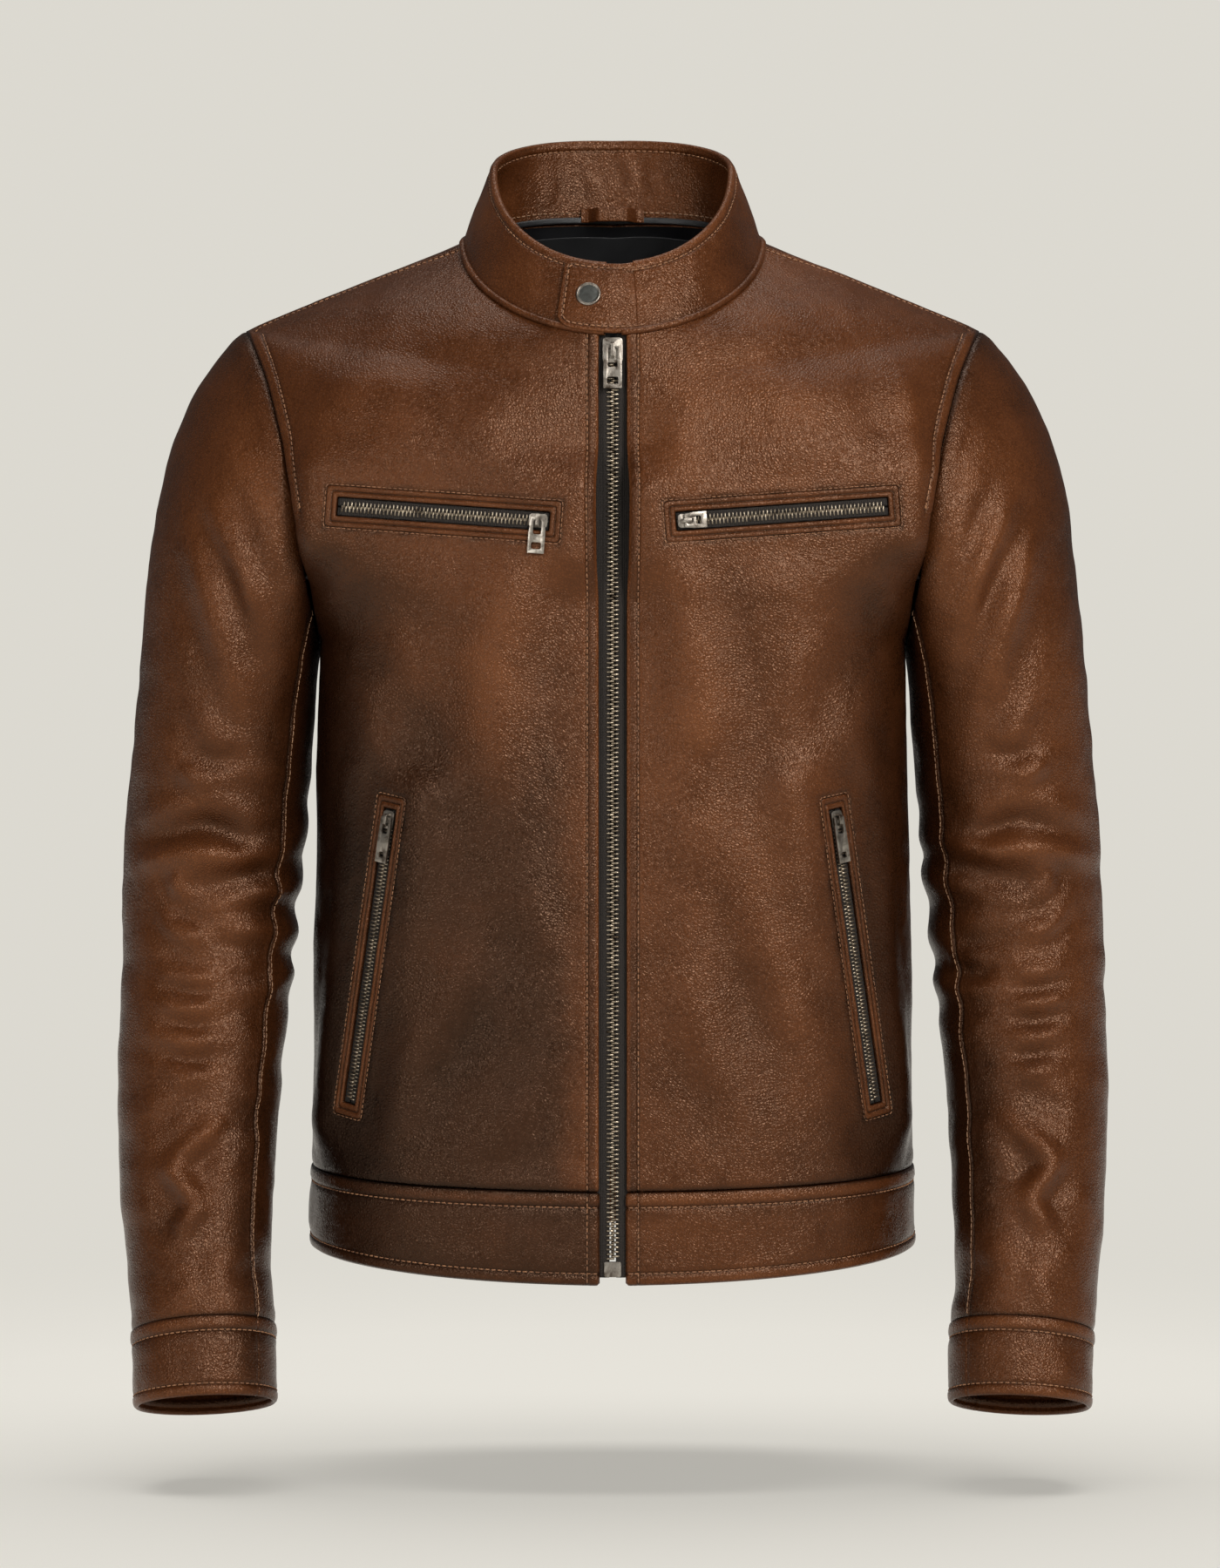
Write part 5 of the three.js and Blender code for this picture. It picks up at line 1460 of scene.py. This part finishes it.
def loop_piece():
    """The hanger loop: a folded strap, sewn down at both ends."""
    lo, hi = (np.array(v) * 1000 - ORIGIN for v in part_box("hanger_loop"))
    x, depth = hi[0], hi[1] - lo[1]
    strap = 1.4
    plan = spline([(-x, 0, 0), (-x + 3, 0, 0), (-x + 6, -1.4, 0), (-x + 10.5, -depth + strap + 0.7, 0),
                   (-x + 14, -depth + strap, 0), (0, -depth + strap - 0.1, 0), (x - 14, -depth + strap, 0),
                   (x - 10.5, -depth + strap + 0.7, 0), (x - 6, -1.4, 0), (x - 3, 0, 0), (x, 0, 0)])
    path = plan(np.linspace(0, 1, 90)) + vec(0, hi[1] - strap / 2, (lo[2] + hi[2]) / 2)
    along = unit(np.gradient(path, axis=0))
    out = np.cross(along, vec(0, 0, 1))
    half_h, half_t = (hi[2] - lo[2]) / 2, strap / 2 + 0.15
    section = rounded_ring(half_t, half_h, 0.6, steps=4)
    rings = path[:, None] + out[:, None] * section[:, 0][:, None] + vec(0, 0, 1) * section[:, 1][:, None]
    tone = 0.2 + 0.3 * noise_b(rings, 8)
    obj = loft("hanger_strap", rings, tone)
    place(obj, "jacket", "leather", "hanger_loop")
    seams = [(path[6:-6] - out[6:-6] * half_t + vec(0, 0, s * (half_h - 1.8)), -out[6:-6]) for s in (-1, 1)]
    place(stitches("strap_stitches", seams), "jacket", "leather")


# ---------------------------------------------------------------- zips
def tooth_parts(origin, u, v, n, places, inner, outer, half_u, half_n):
    """Teeth as bars with rounded backs, across the chain at the given places along it."""
    section = np.array([(-1, -1), (1, -1), (1, 0.45), (0.55, 1), (-0.55, 1), (-1, 0.45)])
    ends = ((inner, 0.62), (inner + 0.35, 1.0), (outer - 0.35, 1.0), (outer, 0.66))
    rings = []
    for reach, size in ends:
        ring = u * (section[:, :1] * half_u * size) + n * (section[:, 1:] * half_n * size)
        rings.append(ring + v * reach)
    one = np.concatenate(rings)
    faces = skin(len(ends), len(section))
    if np.cross(u, n) @ v * (outer - inner) < 0:
        faces = [f[::-1] for f in faces]
    points = origin + one[None] + u * places[:, None, None]
    return points.reshape(-1, 3), repeated(faces, len(one), len(places))


def main_zip():
    top = vec(0, front_y(NECK_FRONT_Z), NECK_FRONT_Z)
    down = vec(0, front_y(4), 4) - top
    length = float(np.linalg.norm(down))
    u = down / length
    v = vec(1, 0, 0)
    n = np.cross(u, v)
    origin = top - n * ZIP_DEPTH
    pitch = 2.75
    places = np.arange(3.2, length - 10.5, pitch)
    for side_name, side in SIDES:
        shift = 0 if side > 0 else pitch / 2
        points, faces = tooth_parts(origin, u, v * side, n, places + shift - 0.4, -1.0, 3.95, 0.66, 1.42)
        obj = make(f"main_teeth_{side_name}", points, faces, [TEETH])
        place(obj, "jacket", "zip_teeth", f"zip_teeth_{side_name}")
        across = np.array([2.2, 3.4, 4.2, 4.8, 5.4, 6.2, 8, 11, TAPE_HALF])
        a, b = np.meshgrid(np.linspace(0, length, 120), across, indexing="ij")
        height = 0.5 * bell(b - 4.7, 0.7) + 0.1 * noise(np.stack([a, b, b], -1), 9) + TAPE_THICK / 2
        p = origin + a[..., None] * u + b[..., None] * (v * side) + height[..., None] * n
        obj = sheet(f"main_tape_{side_name}", p, np.broadcast_to(n, p.shape), TAPE_THICK, [TAPE])
        place(obj, "jacket", "zip_tape", f"zip_tape_{side_name}")


WELT = (  # share of the way out from the window, height over the leather
    (0.0, -4.2), (0.0, -1.4), (0.02, -0.1), (0.08, 0.55), (0.2, 0.95), (0.34, 0.85), (0.43, 0.35),
    (0.48, -0.1), (0.52, -0.1), (0.57, 0.4), (0.66, 0.72), (0.8, 0.8), (0.91, 0.62), (0.97, 0.25),
    (1.0, -0.15), (1.02, -0.8), (1.0, -2.6),
)


def pocket_pieces():
    for kind, pocket in POCKETS.items():
        for side_name, side in SIDES:
            u, v, n = pocket["u"], pocket["v"], pocket["n"]
            length = pocket["length"]
            face = pocket["origin"] + n * ZIP_SINK
            middle = face + u * (length / 2)

            def on_face(flat, height):
                return middle + flat[:, :1] * u + flat[:, 1:] * v + n * height

            rings, tones = [], []
            count = (int(length / 3.5), 5)
            for f, h in WELT:
                half_u = length / 2 + pocket["margin"] * f
                half_v = pocket["window"] / 2 + (pocket["welt"] - pocket["window"]) / 2 * f
                flat = rounded_ring(half_u, half_v, 0.7 + 1.6 * f, count)
                p = on_face(flat, h)
                here = p * vec(side, 1, 1)
                wave = 0.22 * noise_b(here, 7) * (1 if 0.05 < f < 0.98 and h > 0 else 0)
                rings.append(p + n * wave[:, None])
                # Painted shade where the frame dips below the leather, into the window and under the
                # leather's edge; the outer half is a little darker.
                tone = (0.05 if h > 0.3 else -0.9) + 0.2 * noise(here, 12)
                tones.append(tone if f < 0.5 else tone - 0.1)
            obj = loft(f"{kind}_pocket_frame_{side_name}", np.array(rings), np.array(tones), side, True)
            place(obj, "jacket", "leather", f"{kind}_welt_{side_name}")
            flat = rounded_ring(length / 2 + pocket["margin"] + 0.5, pocket["welt"] / 2 + 0.5, 2.6, count)
            flat = np.concatenate([flat, flat[:1]])
            path = on_face(flat, 0.12)
            obj = stitches(f"{kind}_pocket_stitches_{side_name}", [(path, np.broadcast_to(n, path.shape))],
                           side, pitch=3.2, length=2.3, radius=0.27)
            place(obj, "jacket", "leather")
            # Zip: woven tape and two rows of teeth.
            pitch = 2.3
            places = np.arange(2.2, length - 2.6, pitch)
            parts = []
            for s in (1, -1):
                shift = 0 if s > 0 else pitch / 2
                at = places + shift
                parts.append(tooth_parts(pocket["origin"], u, v * s, n, at, -0.8, 3.25, 0.55, 1.05))
            for s in (1, -1):
                a, b = np.linspace(0.4, length - 0.4, 60), np.array([0.5, 1.6, 2.6, 3.4, 4.2])
                b = b * (pocket["window"] / 2 - 0.4) / 4.2
                points = pocket["origin"] + a[:, None, None] * u + (s * b)[None, :, None] * v
                top = points + n * 0.3
                low = points - n * 0.3
                ring = np.concatenate([top, low[:, ::-1]], 1)
                faces = skin(len(a), ring.shape[1])
                if s < 0:
                    faces = [f[::-1] for f in faces]
                parts.append((ring.reshape(-1, 3), faces))
            index = [int(i >= 2) for i, (_, part) in enumerate(parts) for _ in part]
            points, faces = mirrored(*joined(parts), side)
            obj = make(f"{kind}_chain_{side_name}", points, faces, [TEETH, TAPE], None, index)
            place(obj, "jacket", "zip_teeth", f"{kind}_zip_{side_name}")


# ---------------------------------------------------------------- sleeves
SPLIT = ELBOW - ELBOW_SPAN  # upper and lower tube meet here


def ring_angles():
    base = circle(126)
    for seam in (FRONT_SEAM, BACK_SEAM):
        base = base[np.abs(base - seam) > 0.075]
        base = np.concatenate([base, seam + np.array([-60, -38, -24, -13, -6, 0, 6, 13, 24, 38, 60]) / 1000])
    return np.sort(base)


def sleeve_pieces(side_name, side):
    angles = ring_angles()
    upper = row_marks(sleeve_surface, 0.3, 0.0, SPLIT, EDGE_MARKS, [0, 2.9], STEP)
    lower = row_marks(sleeve_surface, 0.3, SPLIT, CUFF_START - 0.012, [0, 2.9], EDGE_MARKS, STEP)
    k = np.concatenate([upper, lower[1:]])
    cut = len(upper) - 1
    p = sleeve_surface(k[:, None], angles)
    centre = p.mean(1, keepdims=True)
    here = p * vec(side, 1, 1) + vec(0, 0, 7 * side)
    d_top, d_low = heights(p)
    fore = np.sin(angles)[None] + 0 * p[..., 0]
    outer = np.cos(angles)[None] + 0 * p[..., 0]
    z = p[..., 2]
    calm = ease((d_top - 10) / 40) * ease((d_low + 4) / 22)
    drawn_at = p + vec(0, 0, 0 if side > 0 else 3)
    folds = strokes(drawn_at, SLEEVE_FOLDS) * ease((fore + 0.1) / 0.5)
    folds += strokes(drawn_at, SLEEVE_BACK_FOLDS) * ease((-fore + 0.05) / 0.5)
    lower_share = ease((330 - z) / 60)
    wrinkle = noise(here * vec(0.55, 0.55, 1.7), 30)
    swell = 1.0 * noise(here, 55) + (0.5 + 0.9 * lower_share) * wrinkle * (0.6 + 0.4 * fore)
    swell += 0.45 * noise_b(here * vec(0.8, 0.8, 1.2), 20)
    inner_side = ease((-outer - 0.1) / 0.6) * bell(z - 205, 75)
    swell += 1.6 * inner_side * np.sin(z / 5.2 + 2.0 * noise_b(here, 40))
    d = 1.2 * folds * calm + swell * calm + 0.22 * noise_b(here, 9)
    # The head of the sleeve: eased into the armhole, a little full below the seam.
    fullness = (0.9 + 0.5 * noise(here, 13)) * bell(d_top - 9, 6) * ease(z / 60 - 7)
    d += -1.1 * ease((2.6 - d_top) / 2.6) + fullness
    gaps = [(angles - seam)[None] * 50 for seam in (FRONT_SEAM, BACK_SEAM)]  # mm, nearly
    for gap in gaps:
        d = d - 0.6 * bell(gap, 0.75) + 0.25 * bell(np.abs(gap) - 2.2, 1.2)
        d += 0.25 * noise_b(here, 8) * bell(np.abs(gap) - 5, 4)
    d += 0.4 * (1 + noise(here, 10)) * bell(d_low - 5, 4) - 0.4 * bell(d_low, 1)
    q, m = pushed(p, d, centre, True)
    # Painted light and shade: the tone follows the folds, lighter on their ridges (partly rubbed wear, partly
    # painted highlight) and darker in their hollows as painted shade; a painted highlight on the upper
    # sleeve's front, painted shade on the side towards the body and a little on the outer side.
    tone = 0.07 * folds + 0.05 * swell + 0.25 * ease((fore - 0.2) / 0.7) * bell(z - 450, 160)
    tone -= 0.65 * ease((-outer - 0.25) / 0.6) + 0.12 * ease((outer - 0.75) / 0.25)
    tone -= 0.7 * bell(d_top, 2.5) + 0.35 * bell(d_top, 14) + 0.6 * bell(d_low, 1.2)
    # Seams darker, with a painted highlight on the raised leather beside them.
    for gap in gaps:
        tone = tone - 0.6 * bell(gap, 1.3) + 0.25 * bell(gap - 2.4, 1.2)
    upper_arm, forearm = f"upper_sleeve_{side_name}", f"forearm_{side_name}"

    def bend(obj, part, slot="leather"):
        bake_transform(obj)

    seam_column = int(np.argmin(np.abs(angles - FRONT_SEAM - 0.038)))
    for part, rows in (("upper", slice(0, cut + 1)), ("lower", slice(cut, None))):
        obj = sheet(f"sleeve_{part}_{side_name}", q[rows], m[rows], LEATHER, [HIDE, SATIN], tone[rows], side,
                    wrap=True, smooth_ends=True, inner_slot=1, roll=0.0)
        joint = "sleeve_cap" if part == "upper" else "sleeve_elbow"
        cad = (joint, f"topsleeve_{part}", f"undersleeve_{part}")
        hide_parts(*(f"{name}_{side_name}" for name in cad))
        bend(obj, part)
        line = [(q[rows, seam_column], m[rows, seam_column])]
        bend(stitches(f"sleeve_stitches_{part}_{side_name}", line, side, PALE_THREAD, pitch=4.0, length=3.5,
                      radius=0.26), part)
    inside = q[cut + 4 : -2] - m[cut + 4 : -2] * 2.1
    obj = sheet(f"sleeve_lining_cloth_{side_name}", inside, m[cut + 4 : -2], CLOTH, [SATIN], None, side,
                wrap=True)
    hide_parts(f"sleeve_lining_{side_name}")
    bend(obj, "lower", "lining")
    # Cuff: a folded band with a raised strip at its top.
    k = row_marks(sleeve_surface, 0.3, CUFF_START + 0.004, SLEEVE_END - 0.008, BAND_HIGH, BAND_LOW, 2.6)
    p = sleeve_surface(k[:, None], angles)
    centre = p.mean(1, keepdims=True)
    d_t, d_b = heights(p)
    d, tone = band_shape(p * vec(side, 1, 1), d_b, d_t)
    for gap in gaps:
        d = d - 0.4 * bell(gap, 0.8)
    q, m = pushed(p, d, centre, True)
    # Painted shade on the cuff's side towards the body.
    tone = tone - 0.4 * ease((-np.cos(angles) - 0.3) / 0.6)[None]
    obj = sheet(f"cuff_leather_{side_name}", q, m, 3.2, [HIDE], tone, side, wrap=True)
    place(obj, forearm, "leather", f"cuff_{side_name}")
    seams = [tuple(np.concatenate([a, a[:1]]) for a in seam) for seam in band_seams(q, m, d_b, d_t, True)]
    place(stitches(f"cuff_stitches_{side_name}", seams, side), forearm, "leather")


# ---------------------------------------------------------------- build
for name, sign in SIDES:
    front_panel(name, sign)
    waistband_front(name, sign)
    sleeve_pieces(name, sign)
back_pieces()
lining_pieces()
collar_pieces()
tab_piece()
loop_piece()
main_zip()
pocket_pieces()

for name in NODES:
    if "slider" in name or "pull" in name or name == "zip_box":
        refined(name, NICKEL, 0.28 if "pull" in name else 0.22)
for name in ("snap_socket", "snap_stud"):
    refined(name, BRASS, 0.15)


def snap_face():
    """The snap's cap: a bright rolled rim round a dark domed face."""
    mesh = NODES["snap_cap"].data
    co = np.array([v.co for v in mesh.vertices]) * 1000 - ORIGIN
    centre = co.mean(0)
    n = unit(np.linalg.svd(co - centre)[2][2])
    n = n if n[1] < 0 else -n
    foot = ((co - centre) @ n).min()
    u = unit(np.cross(n, vec(0, 0, 1)))
    v = np.cross(n, u)
    profile = [(7.1, 0), (7.5, 0.35), (7.5, 1.0), (7.25, 1.45), (6.8, 1.62), (6.35, 1.5), (6.1, 1.15),
               (5.9, 1.0), (5.0, 1.12), (3.5, 1.24), (1.8, 1.31), (0.5, 1.33)]
    a = circle(56)
    ring = np.cos(a)[:, None] * u + np.sin(a)[:, None] * v
    points = np.concatenate([centre + n * (foot + h) + ring * r for r, h in profile])
    faces = skin(len(profile), len(a))
    dark_from = 7  # the ring of the profile where the dark face starts
    index = [int(i >= dark_from) for i in range(len(profile) - 1) for _ in a] + [0, 1]
    if np.cross(u, v) @ n < 0:
        faces = [f[::-1] for f in faces]
    obj = make("snap_face", points, faces, [NICKEL, ENAMEL], None, index)
    place(obj, "collar_tab", "nickel", "snap_cap")


snap_face()

# ---------------------------------------------------------------- stage, camera and light
EYE, LENS = (-0.0016, -2.6598, -0.3607), 123.8  # level, looking at the front from 2.6 m away
FLOOR_Z = -0.784
FLOOR_REACH, WALL_TOP, WALL_FOOT = 9, 9, -0.5
WARM_WHITE = (1.0, 0.98, 0.95)
PAPER = (0.716, 0.694, 0.635)
FLOOR_COLOR = (0.50, 0.485, 0.445)
FADE_START, FADE_END = 0.6, 1.25


def stage_object(name, points, faces, mat):
    mesh = bpy.data.meshes.new(name)
    mesh.from_pydata(points, [], faces)
    mesh.materials.append(mat)
    obj = in_scene(name, mesh)
    return obj


def glow(tree, target):
    """Even paper colour that no lamp changes."""
    made = node(tree, "ShaderNodeEmission")
    made.inputs["Color"].default_value = (*PAPER, 1)
    tree.links.new(made.outputs[0], target)


def backdrop():
    """A pale floor that fades into a far round wall of the same colour."""
    ring = [(FLOOR_REACH * math.cos(a), FLOOR_REACH * math.sin(a)) for a in circle(72)]
    mat, tree, shader = new_material("floor")
    shader.inputs["Base Color"].default_value = (*FLOOR_COLOR, 1)
    shader.inputs["Emission Color"].default_value = (*PAPER, 1)
    shader.inputs["Emission Strength"].default_value = 0.585
    shader.inputs["Roughness"].default_value = 1.0
    shader.inputs["Specular IOR Level"].default_value = 0.0
    place_node = node(tree, "ShaderNodeNewGeometry").outputs["Position"]
    flat = node(tree, "ShaderNodeVectorMath", operation="MULTIPLY")
    tree.links.new(place_node, flat.inputs[0])
    flat.inputs[1].default_value = (1, 1, 0)
    reach = node(tree, "ShaderNodeVectorMath", operation="LENGTH")
    tree.links.new(flat.outputs[0], reach.inputs[0])
    fade = map_range(tree, reach.outputs["Value"], FADE_START, FADE_END)
    blend = node(tree, "ShaderNodeMixShader")
    tree.links.new(fade, blend.inputs[0])
    tree.links.new(shader.outputs[0], blend.inputs[1])
    glow(tree, blend.inputs[2])
    tree.links.new(blend.outputs[0], tree.nodes["Material Output"].inputs["Surface"])
    floor = stage_object("floor", [(x, y, FLOOR_Z) for x, y in ring], [range(len(ring))], mat)
    mat, tree, shader = new_material("wall")
    glow(tree, tree.nodes["Material Output"].inputs["Surface"])
    points = [(x, y, FLOOR_Z + h) for h in (WALL_FOOT, WALL_TOP) for x, y in ring]
    count = len(ring)
    faces = [(i, (i + 1) % count, count + (i + 1) % count, count + i) for i in range(count)]
    faces.append(range(count, 2 * count))
    wall = stage_object("wall", points, faces, mat)
    wall.visible_diffuse = wall.visible_glossy = wall.visible_shadow = False
    groups = []
    for state in ("INCLUDE", "EXCLUDE"):
        group = bpy.data.collections.new("floor_" + state.lower())
        group.objects.link(floor)
        group.collection_objects[0].light_linking.link_state = state
        groups.append(group)
    return groups


def softbox(name, at, aim, width, height, power, receivers, color=(1, 1, 1)):
    lamp = bpy.data.lights.new(name, "AREA")
    lamp.shape = "RECTANGLE"
    lamp.size, lamp.size_y = width, height
    lamp.energy = power
    lamp.color = color
    obj = in_scene(name, lamp)
    obj.location = at
    obj.rotation_euler = (Vector(aim) - Vector(at)).to_track_quat("-Z", "Y").to_euler()
    obj.light_linking.receiver_collection = receivers
    return obj


only_floor, off_floor = backdrop()
camera = bpy.data.cameras.new("camera")
camera.sensor_fit = "HORIZONTAL"
camera.sensor_width = 36
camera.lens = LENS
eye = in_scene("camera", camera)
eye.location = EYE
eye.rotation_euler = (math.pi / 2, 0, 0)
bpy.context.scene.camera = eye

world = bpy.data.worlds.new("studio")
world.use_nodes = True
background = world.node_tree.nodes["Background"]
background.inputs["Color"].default_value = (*WARM_WHITE, 1)
background.inputs["Strength"].default_value = 0.09
bpy.context.scene.world = world
bpy.context.scene.view_settings.view_transform = "Standard"
MIDDLE = (0, 0, -0.35)  # of the jacket
# The lamps of the jacket leave the floor alone, which has one wide lamp over it for its shadow.
for name, at, width, height, power in (
    ("key", (1.1, -2.15, 0.8), 0.8, 1.5, 54),
    ("fill", (-1.25, -2.2, 0.2), 0.45, 1.4, 15),
    ("top", (0, 0.15, 1.7), 1.2, 1.0, 12),
    ("rear", (0.3, 2.5, 0.6), 1.2, 1.2, 24),
):
    lamp = softbox(name, at, MIDDLE, width, height, power, off_floor, WARM_WHITE)
    lamp.visible_glossy = name != "rear"
softbox("above", (0, 0.15, 1.7), (0, 0.05, -0.8), 2.5, 1.4, 50, only_floor)
